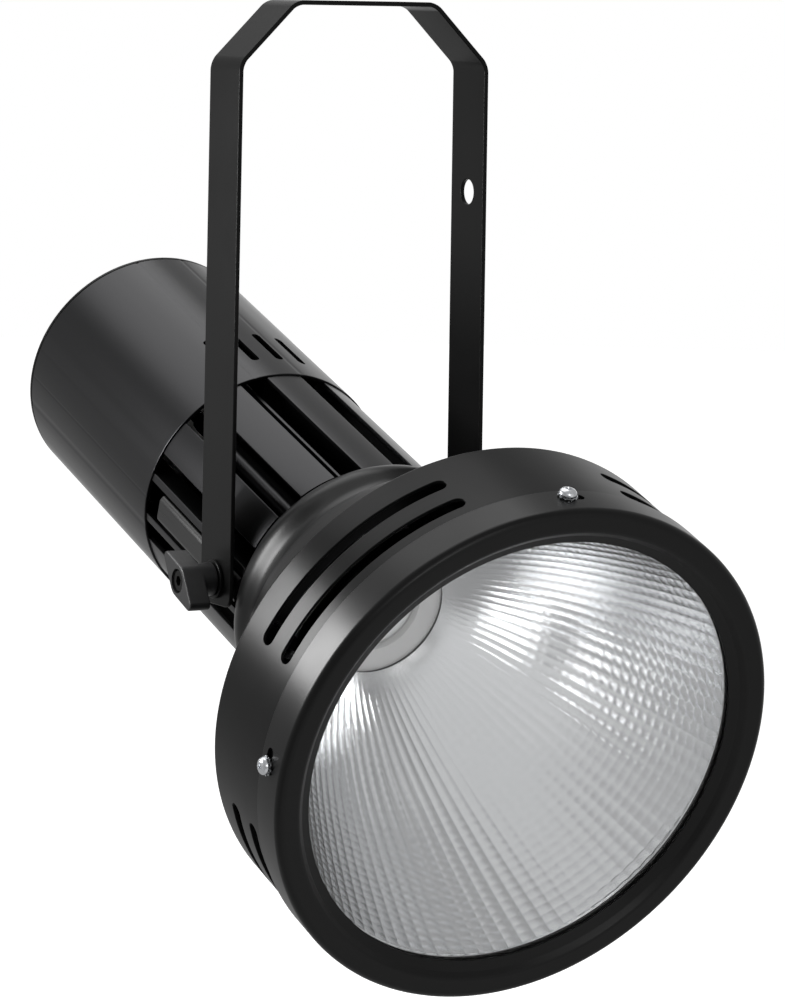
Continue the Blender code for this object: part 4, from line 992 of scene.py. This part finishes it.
def makeSleeve():
    inner = sleeve["radius"] - sleeve["wall"]
    section = ringSection(inner, sleeve["radius"], sleeve["front"], sleeve["back"], (0.3, 0.4, 0.4, 0.3))
    shape = turnedOnLamp(section, steps=720, arcSteps=2)
    for vert in shape.verts:
        if vert.co.xy.length < (inner + sleeve["wall"] / 2) * mm:
            continue
        angle = math.degrees(math.atan2(vert.co.y, vert.co.x))
        for middle, wide, depth in sleeve["sinks"]:
            off = (angle - middle + 180) % 360 - 180
            if abs(off) < wide / 2:
                vert.co.xy *= 1 - depth * mm * math.cos(math.pi * off / wide) ** 2 / vert.co.xy.length
    length, width = sleeve["ventSize"]
    signs = ((-1, -1), (1, -1), (1, 1), (-1, 1))
    capsule = rounded([(x * length / 2, y * width / 2, width / 2 - 0.01) for x, y in signs], 8)
    tools = []
    for middle in (90, -90):
        for i in range(sleeve["vents"]):
            angle = middle + sleeve["ventPitch"] * (i - (sleeve["vents"] - 1) / 2)
            vent = slab(capsule, (inner - 3) * mm, (sleeve["radius"] + 3) * mm)
            vent.transform(outwards(angle, sleeve["ventStation"]))
            tools.append(vent)
    notchSize = [size * mm for size in sleeve["notchSize"]]
    for angle in sleeve["notches"]:
        tools.append(block(notchSize, (0, 0, sleeve["radius"] * mm), outwards(angle, sleeve["back"])))
    shape = combined(shape, [joined(tools)])
    addPiece("sleeveTube", shape, "blackAnodised", ["rear_sleeve"], smooth=26)


makeSleeve()
print("sleeve made")


# Rear cover: a flanged plate that closes the sleeve.
cover = {
    "radius": 59.3,
    "rear": 394,
    "thickness": 2,
    "rimRadius": 57.2,
    "rimWall": 1.5,
    "rimDepth": 7,
    "screwHole": 2.3,
    "glandHole": 8.3,
}


def makeCover():
    front = cover["rear"] - cover["thickness"]
    rim, rimEnd = cover["rimRadius"], front - cover["rimDepth"]
    inner = rim - cover["rimWall"]
    shape = turnedOnLamp(
        [
            (0, front),
            (inner, front, 0.4),
            (inner, rimEnd, 0.3),
            (rim, rimEnd, 0.3),
            (rim, front),
            (cover["radius"], front, 0.15),
            (cover["radius"], cover["rear"], 0.7),
            (0, cover["rear"]),
        ],
        closed=False,
    )
    back = station(cover["rear"])
    holes = [rod(cover["screwHole"] * mm, back - 0.002, back + 0.004, 24, portPlace(i)) for i in range(4)]
    holes.append(rod(cover["glandHole"] * mm, back - 0.002, back + 0.004, 48, glandPlace()))
    shape = combined(shape, [joined(holes)])
    softened(shape, 0.2, 70)
    addPiece("coverPlate", shape, "powderCoat", ["rear_cover"])


# Cable gland: hexagon collar, ribbed dome nut, seal and locknut.
gland = {
    "drop": 28,
    "thread": 8,
    "bore": 4.5,
    "hexRadius": 11.5,
    "hexThickness": 5,
    "neck": 6,
    "nutRadius": 10.7,
    "nutLength": 13,
    "ribs": 12,
    "ribSize": (1.6, 1.2),  # width and height
    "locknut": 4,
}


def glandPlace():
    return Matrix.Translation((0, -gland["drop"] * mm, 0))


def makeGland():
    gap = lamp["gap"]
    hexTop = cover["rear"] + gap
    hexEnd = hexTop + gland["hexThickness"]
    neckEnd = hexEnd + gland["neck"]
    inside = cover["rear"] - cover["thickness"] - gap - gland["locknut"]
    section = ringSection(gland["bore"], gland["thread"], inside, neckEnd, (0.3, 0.6, 0.6, 0.3))
    thread = turnedOnLamp(section, steps=64)
    collar = rod(gland["hexRadius"] * mm, station(hexEnd), station(hexTop), 6)
    softened(collar, 0.5, 40, 3)
    collar = combined(collar, [rod((gland["thread"] - 0.5) * mm, station(hexEnd + 3), station(hexTop - 3), 64)])
    body = combined(thread, [collar], "UNION")
    addPiece("glandBody", body, "mouldedNylon", ["gland_body"], lampPlace @ glandPlace())
    shell = gland["thread"] + gap
    nutTop = hexEnd + gap
    nutEnd = nutTop + gland["nutLength"]
    grip = gland["nutLength"] * 0.65
    dome = turnedOnLamp(
        [
            (shell, nutTop, 0.3),
            (gland["nutRadius"] - 0.5, nutTop, 0.4),
            (gland["nutRadius"] - 0.5, nutTop + grip, 0.8),
            (gland["nutRadius"] - 1.2, nutEnd - 1.4, 2.0),
            (gland["nutRadius"] - 3.2, nutEnd, 1.2),
            (gland["bore"], nutEnd, 0.4),
            (gland["bore"], nutEnd - 2, 0.3),
            (shell, nutEnd - 2, 0.3),
        ],
        steps=72,
    )
    ribs = []
    wide, high = gland["ribSize"]
    for angle in evenly(gland["ribs"]):
        rib = block(
            ((grip - 1) * mm, wide * mm, high * mm),
            (0, 0, (gland["nutRadius"] - 0.6) * mm),
            outwards(angle, nutTop + grip / 2),
        )
        ribs.append(softened(rib, 0.35, 40, 2))
    nut = combined(dome, [joined(ribs)], "UNION")
    addPiece("glandNut", nut, "mouldedNylon", ["gland_nut"], lampPlace @ glandPlace())


makeCover()
makeGland()
print("cover and gland made")


# Reflector: a deep bowl of flutes, each row of them pressed in small pillows.
reflector = {
    "mouth": 99,
    "flange": 106,
    "base": 30.5,
    "baseStation": 138,
    "flangeFront": 10.9,
    "wall": 0.9,
    "flutes": 90,
    "rows": 30,
    "fluteSteps": 4,
    "rowSteps": 4,
    "backSteps": 8,
    "fluteBulge": 0.26,
    "rowBulge": 0.12,
    "calm": 14,  # mm beside the base over which the pattern grows
}


def bowlRadius(at):
    base, mouth, start = reflector["base"], reflector["mouth"], reflector["baseStation"]
    share = (start - at) / (start - reflector["flangeFront"] - reflector["wall"])
    return math.sqrt(base**2 + (mouth**2 - base**2) * share)


def makeReflector():
    front = reflector["flangeFront"] + reflector["wall"]
    depth = front - reflector["baseStation"]
    rows = reflector["rows"] * reflector["rowSteps"]
    outline = []
    for k in range(rows + 1):
        at = reflector["baseStation"] + depth * k / rows
        outline.append((bowlRadius(at) * mm, station(at)))
    # The back is plain.
    for k in range(reflector["backSteps"], -1, -1):
        at = reflector["baseStation"] + depth * k / reflector["backSteps"]
        outline.append(((bowlRadius(at) + 1.3 * reflector["wall"]) * mm, station(at)))
    shape = turned(outline, steps=reflector["flutes"] * reflector["fluteSteps"])
    pitch = 2 * math.pi / reflector["flutes"]
    for vert in shape.verts:
        at = lamp["pivotStation"] - vert.co.z / mm
        if vert.co.xy.length > (bowlRadius(at) + 0.3) * mm:
            continue
        across = (math.atan2(vert.co.y, vert.co.x) / pitch) % 1
        along = ((at - reflector["baseStation"]) / depth * reflector["rows"]) % 1
        radius = vert.co.xy.length / mm
        size = radius / reflector["mouth"] * min(1, (radius - reflector["base"] + 1) / reflector["calm"])
        bulge = reflector["fluteBulge"] * (1 - (2 * across - 1) ** 2)
        bulge += reflector["rowBulge"] * (1 - (2 * along - 1) ** 2)
        vert.co.xy *= 1 - bulge * size / radius
    addPiece("reflectorBowl", shape, "brightAluminium", ["reflector"], smooth=6, even=False)
    bore, outer = reflector["mouth"] + 0.1, reflector["flange"]
    lip = turnedOnLamp(ringSection(bore, outer, reflector["flangeFront"], front, (0.2, 0.2, 0.2, 0.2)))
    addPiece("reflectorLip", lip, "brightAluminium", ["reflector"])


makeReflector()
print("reflector made")


# Front glass: a pane with ground edges.
pane = {"radius": 104.5, "front": 6.1, "thickness": 3.2, "edge": 0.5}


def makeGlass():
    radius, front, edge = pane["radius"], pane["front"], pane["edge"]
    back = front + pane["thickness"]
    shape = turnedOnLamp([(0, front), (radius, front, edge), (radius, back, edge), (0, back)], closed=False)
    addPiece("glassPane", shape, "toughenedGlass", ["front_glass"])


makeGlass()
print("glass made")


# Light source: a holder ring on its board, with the emitting face set in it.
source = {"spreaderStation": 146.2, "board": 1.5, "holder": (31.2, 20.5, 4.2), "emitter": (19.5, 0.8)}


def makeSource():
    radius, bore, height = source["holder"]
    base = source["spreaderStation"] - source["board"] - 2 * lamp["gap"]
    holder = turnedOnLamp(ringSection(bore, radius, base - height, base, (0.3, 0.5, 0.2, 0.2)), steps=96)
    addPiece("sourceHolder", holder, "whitePolymer", ["led_holder"])
    face, thickness = source["emitter"]
    emitter = turnedOnLamp(
        [
            (0, base - thickness),
            (face - 1.2, base - thickness, 0.2),
            (face, base - thickness * 0.4, 0.2),
            (face, base),
            (0, base),
        ],
        closed=False,
        steps=96,
    )
    addPiece("sourceFace", emitter, "phosphorSilicone", ["led_emitter"])


makeSource()
print("light source made")


# Screws and lock washers of the bezel, bell and cover. The turns are of the screws' recesses.
fasteners = {
    "radius": 2.0,
    "head": (3.8, 2.6),
    "bezelLength": 4.2,
    "coverLength": 10,
    "washer": (4.3, 2.3, 10, 0.7, 0.75, 0.22),  # outer radius, bore, teeth, thickness, bite and twist
}


def makeFasteners():
    radius, head, thickness = fasteners["radius"], fasteners["head"], fasteners["washer"][3]
    gap = lamp["gap"]
    for i, angle in enumerate(evenly(bezel["screws"])):
        place = lampPlace @ outwards(angle, bezel["screwStation"])
        under = place @ lifted((bezel["radius"] + gap) * mm)
        washer = toothedWasher(*fasteners["washer"])
        addPiece(f"bezelLockWasher{i + 1}", washer, "zincPlate", [f"bezel_star_washer_{i + 1}"], under)
        seat = place @ lifted((bezel["radius"] + 2 * gap + thickness) * mm) @ aboutZ(17 + 31 * i)
        screw = panScrew(radius, fasteners["bezelLength"], *head)
        addPiece(f"bezelScrew{i + 1}", screw, "zincPlate", [f"bezel_screw_{i + 1}"], seat)
    backwards = Matrix.Rotation(math.pi, 4, "X")
    for i, place in enumerate(bellScrewPlaces()):
        seat = lampPlace @ place @ (lifted(station(ring["back"]) - gap * mm) @ backwards)
        screw = panScrew(bellScrew["radius"], bellScrew["length"], *bellScrew["head"], pointed=True, steps=28)
        addPiece(f"bellScrew{i + 1}", screw, "zincPlate", [f"bell_screw_{i + 1}"], seat)
    for i in range(4):
        place = portPlace(i, station(cover["rear"]) - gap * mm) @ backwards
        screw = panScrew(radius, fasteners["coverLength"], *head)
        seat = lampPlace @ place @ aboutZ(11 + 47 * i)
        addPiece(f"coverScrew{i + 1}", screw, "zincPlate", [f"cover_screw_{i + 1}"], seat)


makeFasteners()
print("fasteners made")


# Pivots: slide nut, lock washer, plain washer and wing knob on each side.
pivots = {
    "screwRadius": 4.0,
    "bore": 4.4,
    "nutStations": (162.5, 245),
    "nutNeckHalf": 6.6,
    "nutFlange": 5.2,
    "nutProud": 0.5,
    "nutShoulder": 3.0,
    "washer": (7.8, 12, 1.4),  # outer radius, teeth and the room for its thickness
    "bite": 1.3,
    "twist": 0.25,
    "plainWasher": (8.5, 1.5),
    "knobHeight": 16.6,
    "wingThickness": 10,
    "wingLength": 33.5,
    "tipRadius": 2.6,
    "hubRadius": 7.3,
    "hubDrop": 4,  # below the wing's face
    "wingAngle": -21.5,
    "recess": (5.4, 3.6),
    "screwHead": (4.8, 2.6),
    "socket": (2.4, 1.8),
}


def wingOutline():
    reach = pivots["wingLength"] / 2 - pivots["tipRadius"]
    lean = math.degrees(math.acos((pivots["hubRadius"] - pivots["tipRadius"]) / reach))
    outline = []
    for turn in (1, -1):
        tip = arcPoints((reach, 0), pivots["tipRadius"], -lean, lean, 10)
        hub = arcPoints((0, 0), pivots["hubRadius"], lean, 180 - lean, 10)
        outline += [(turn * x, turn * y) for x, y in tip + hub]
    return outline


def makePivot(side):
    gap, bore = lamp["gap"], pivots["bore"]
    turn = 0 if side == "right" else 180
    axis = lampPlace @ outwards(turn)
    top = sink["radius"] + pivots["nutProud"]
    under = math.sqrt((sink["radius"] - sink["flangeThickness"]) ** 2 - sink["channelHalf"] ** 2) - gap
    low = under - pivots["nutFlange"]
    wide = sink["channelHalf"] - gap
    neck = pivots["nutNeckHalf"]
    half = [(wide, low, 0.4), (wide, under, 0.4), (neck, under, 0.3), (neck, top, pivots["nutShoulder"])]
    outline = half + [(-x, z, r) for x, z, r in reversed(half)]
    front, back = pivots["nutStations"]
    bar = slab(rounded(outline, 6), station(back), station(front))
    # From across and out to the lamp's Y and X, then round to this side.
    swap = Matrix(((0, 1, 0, 0), (1, 0, 0, 0), (0, 0, 1, 0), (0, 0, 0, 1)))
    bar.transform(aboutZ(turn) @ swap)
    bmesh.ops.recalc_face_normals(bar, faces=bar.faces)
    bar = combined(bar, [rod(bore * mm, low * mm - 0.001, top * mm + 0.001, 32, outwards(turn))])
    addPiece(side + "SlideNut", bar, "blackenedSteel", ["slide_nut_" + side])

    outer, teeth, thickness = pivots["washer"]
    washer = toothedWasher(outer, bore, teeth, thickness * 0.7, pivots["bite"], pivots["twist"])
    lift = lifted((top + gap + thickness * 0.15) * mm)
    addPiece(side + "PivotWasher", washer, "zincPlate", ["pivot_star_washer_" + side], axis @ lift)

    legOutside = top + gap + thickness + gap + bracket["thickness"]
    washerLow = legOutside + gap
    outer, thickness = pivots["plainWasher"]
    washerTop = washerLow + thickness
    plain = turnedUp(ringSection(bore, outer, washerLow, washerTop, (0.2, 0.3, 0.4, 0.2)))
    addPiece(side + "KnobWasher", plain, "powderCoat", ["knob_washer_" + side], axis)

    knobLow = washerTop + gap
    face = knobLow + pivots["knobHeight"]
    wing = slab(wingOutline(), (face - pivots["wingThickness"]) * mm, face * mm)
    wing.transform(aboutZ(pivots["wingAngle"]))
    softened(wing, 0.7, 60, 4)
    hubRadius, hubTop = pivots["hubRadius"], face - pivots["hubDrop"]
    hub = turnedUp(
        [(0, knobLow), (hubRadius, knobLow, 0.6), (hubRadius, hubTop), (0, hubTop)], closed=False
    )
    knob = combined(wing, [hub], "UNION")
    recess, depth = pivots["recess"]
    holes = [
        rod(recess * mm, (face - depth) * mm, (face + 1) * mm, 48),
        rod(bore * mm, (knobLow - 1) * mm, face * mm, 32),
    ]
    addPiece(side + "WingKnob", combined(knob, holes), "mouldedNylon", ["wing_knob_" + side], axis)

    seat = face - depth + gap
    headRadius, headHeight = pivots["screwHead"]
    headTop = seat + headHeight
    tip = low + gap
    screw = turnedUp(
        [
            (0, headTop),
            (headRadius, headTop, 0.5),
            (headRadius, seat, 0.1),
            (pivots["screwRadius"], seat),
            (pivots["screwRadius"], tip, 0.5),
            (0, tip),
        ],
        closed=False,
    )
    socket, socketDepth = pivots["socket"]
    screw = combined(screw, [rod(socket * mm, (headTop - socketDepth) * mm, (headTop + 1) * mm, 6)])
    addPiece(side + "KnobScrew", screw, "powderCoat", ["knob_screw_" + side], axis)


for side in ("left", "right"):
    makePivot(side)
print("pivots made")


# Pieces inside keep their shape from the frame and get their finish.
kept = {
    "siliconeRubber": ["glass_seal", "gland_seal", "led_lead"],
    "milledAluminium": ["reflector_support_ring", "heat_spreader", "driver_plate"],
    "whitePolymer": ["led_board"],
    "driverCase": ["driver"],
    "mouldedNylon": ["gland_locknut"],
    "zincPlate": [f"neck_screw_{i}" for i in range(1, 5)] + [f"tie_rod_{i}" for i in range(1, 5)],
}
for finish, nodes in kept.items():
    for node in nodes:
        mesh = frame["nodes"][node].data
        mesh.materials.clear()
        mesh.materials.append(finishes[finish])
print("inner pieces finished")


# Studio: a pale floor, a white backdrop, softer light at the sides and in front, and softboxes.
studio = {
    "floorHeight": -0.56,
    "floorRadius": 5.0,
    "floorColour": "#e6e6e6",
    "floorGlow": 0.7,  # added for the camera, so that the open floor is white and keeps its shadow
    "middle": (0.0, -0.2, -0.27),  # where the levels below are seen from
    "ahead": 0.75,
    # The front goes by steps to other levels: axis, where each starts and is complete, and the level.
    "steps": (
        ("X", 0.03, -0.09, 0.32),
        ("Z", -0.38, -0.46, 0.68),
        ("Z", 0.00, 0.06, 0.76),
        ("Z", 0.29, 0.35, 0.52),
        ("X", 0.63, 0.69, 0.50),
        ("X", -0.64, -0.72, 0.42),
        ("Y", -0.25, 0.05, 0.50),
    ),
    "backdropWay": (0.65, 0.75, -0.15),
    "backdropEdge": (0.80, 0.92),  # cosines off that way between which the backdrop fades in
}
# Each softbox: centre, the point it faces, width and height in metres, and the brightness of its face.
softboxes = {
    "side": ((-0.43, 0.155, -0.065), (-0.10, -0.17, -0.25), (0.20, 0.20), 25),
    "overhead": ((-0.05, 0.42, 0.86), (0.0, 0.05, -0.15), (1.0, 1.2), 1.9),
    "front": ((-0.24, -1.70, -0.02), (0.0, -0.2, -0.27), (0.58, 0.32), 3.7),
    "frontHigh": ((0.0, -1.53, 0.43), (0.0, -0.2, -0.27), (0.55, 0.10), 4.5),
}


# The share of camera rays, and of rays seen in gloss or through glass.
def viewRays(tree):
    path = addNode(tree, "ShaderNodeLightPath")
    shiny = addNode(
        tree,
        "ShaderNodeMath",
        {"operation": "MAXIMUM"},
        {0: path.outputs["Is Glossy Ray"], 1: path.outputs["Is Transmission Ray"]},
    )
    return path.outputs["Is Camera Ray"], shiny.outputs["Value"]


# Level of the studio's light by its direction from the object, and the share of it that is backdrop.
def studioLevel(tree, way):
    parts = addNode(tree, "ShaderNodeSeparateXYZ", links={"Vector": way})
    level = None
    for axis, start, end, value in studio["steps"]:
        ramp = addNode(
            tree,
            "ShaderNodeMapRange",
            {"interpolation_type": "SMOOTHSTEP", "From Min": start, "From Max": end},
            {"Value": parts.outputs[axis]},
        )
        links = {"Factor": ramp.outputs["Result"]}
        if level is not None:
            links["A"] = level.outputs["Result"]
        level = addNode(tree, "ShaderNodeMix", {"A": studio["ahead"], "B": value}, links)
    behind = addNode(
        tree, "ShaderNodeVectorMath", {"operation": "DOT_PRODUCT", 1: studio["backdropWay"]}, {0: way}
    )
    backdrop = addNode(
        tree,
        "ShaderNodeMapRange",
        {
            "interpolation_type": "SMOOTHSTEP",
            "From Min": studio["backdropEdge"][0],
            "From Max": studio["backdropEdge"][1],
        },
        {"Value": behind.outputs["Value"]},
    )
    whole = addNode(
        tree, "ShaderNodeMix", {"B": 1.0}, {"Factor": backdrop.outputs["Result"], "A": level.outputs["Result"]}
    )
    return whole.outputs["Result"], backdrop.outputs["Result"]


def makeFloor():
    shape = bmesh.new()
    bmesh.ops.create_circle(shape, cap_ends=True, segments=96, radius=studio["floorRadius"])
    bmesh.ops.translate(shape, verts=shape.verts, vec=(0, 0, studio["floorHeight"]))
    floor = asObject(shape, "floor")
    finish, tree, shader = newFinish(
        "paleFloor", {"Base Color": linear(studio["floorColour"]), "Roughness": 0.9, "Specular IOR Level": 0.1}
    )
    camera, shiny = viewRays(tree)
    glow = addNode(tree, "ShaderNodeEmission", {"Strength": studio["floorGlow"]})
    seen = addNode(tree, "ShaderNodeMixShader", links={0: camera, 2: glow.outputs[0]})
    both = addNode(tree, "ShaderNodeAddShader", links={0: shader.outputs[0], 1: seen.outputs[0]})
    # Gloss and glass see the floor at the level of its direction.
    coords = addNode(tree, "ShaderNodeTexCoord")
    off = addNode(
        tree, "ShaderNodeVectorMath", {"operation": "SUBTRACT", 1: studio["middle"]}, {0: coords.outputs["Object"]}
    )
    way = addNode(tree, "ShaderNodeVectorMath", {"operation": "NORMALIZE"}, {0: off.outputs["Vector"]})
    level = studioLevel(tree, way.outputs["Vector"])[0]
    mirrored = addNode(tree, "ShaderNodeEmission", links={"Strength": level})
    above = addNode(tree, "ShaderNodeMixShader", links={0: shiny, 1: both.outputs[0], 2: mirrored.outputs[0]})
    side = addNode(tree, "ShaderNodeNewGeometry")
    fromBelow = addNode(tree, "ShaderNodeBsdfTransparent")
    whole = addNode(
        tree,
        "ShaderNodeMixShader",
        links={0: side.outputs["Backfacing"], 1: above.outputs[0], 2: fromBelow.outputs[0]},
    )
    tree.links.new(whole.outputs[0], tree.nodes["Material Output"].inputs["Surface"])
    floor.data.materials.append(finish)


def makeWorld():
    world = bpy.data.worlds.new("studio")
    world.use_nodes = True
    bpy.context.scene.world = world
    tree = world.node_tree
    level, backdrop = studioLevel(tree, addNode(tree, "ShaderNodeTexCoord").outputs["Generated"])
    # White background for the camera, and for gloss and glass where they see the backdrop.
    camera, shiny = viewRays(tree)
    placed = addNode(tree, "ShaderNodeMath", {"operation": "MULTIPLY"}, {0: shiny, 1: backdrop})
    share = addNode(tree, "ShaderNodeMath", {"operation": "MAXIMUM"}, {0: camera, 1: placed.outputs[0]})
    seen = addNode(tree, "ShaderNodeMath", {"operation": "MAXIMUM"}, {0: share.outputs[0], 1: level})
    sky = tree.nodes["Background"]
    sky.inputs["Color"].default_value = (1, 1, 1, 1)
    tree.links.new(seen.outputs[0], sky.inputs["Strength"])


def makeSoftboxes():
    for name, (centre, faces, size, brightness) in softboxes.items():
        lightData = bpy.data.lights.new(name, "AREA")
        lightData.shape = "RECTANGLE"
        lightData.size, lightData.size_y = size
        # Watts of a lamp whose face has this brightness.
        lightData.energy = brightness * math.pi * size[0] * size[1]
        light = bpy.data.objects.new(name, lightData)
        light.location = centre
        light.rotation_euler = (Vector(centre) - Vector(faces)).to_track_quat("Z", "Y").to_euler()
        light.visible_camera = False
        bpy.context.scene.collection.objects.link(light)


makeFloor()
makeWorld()
makeSoftboxes()
bpy.context.scene.view_settings.view_transform = "Standard"
print("studio made")
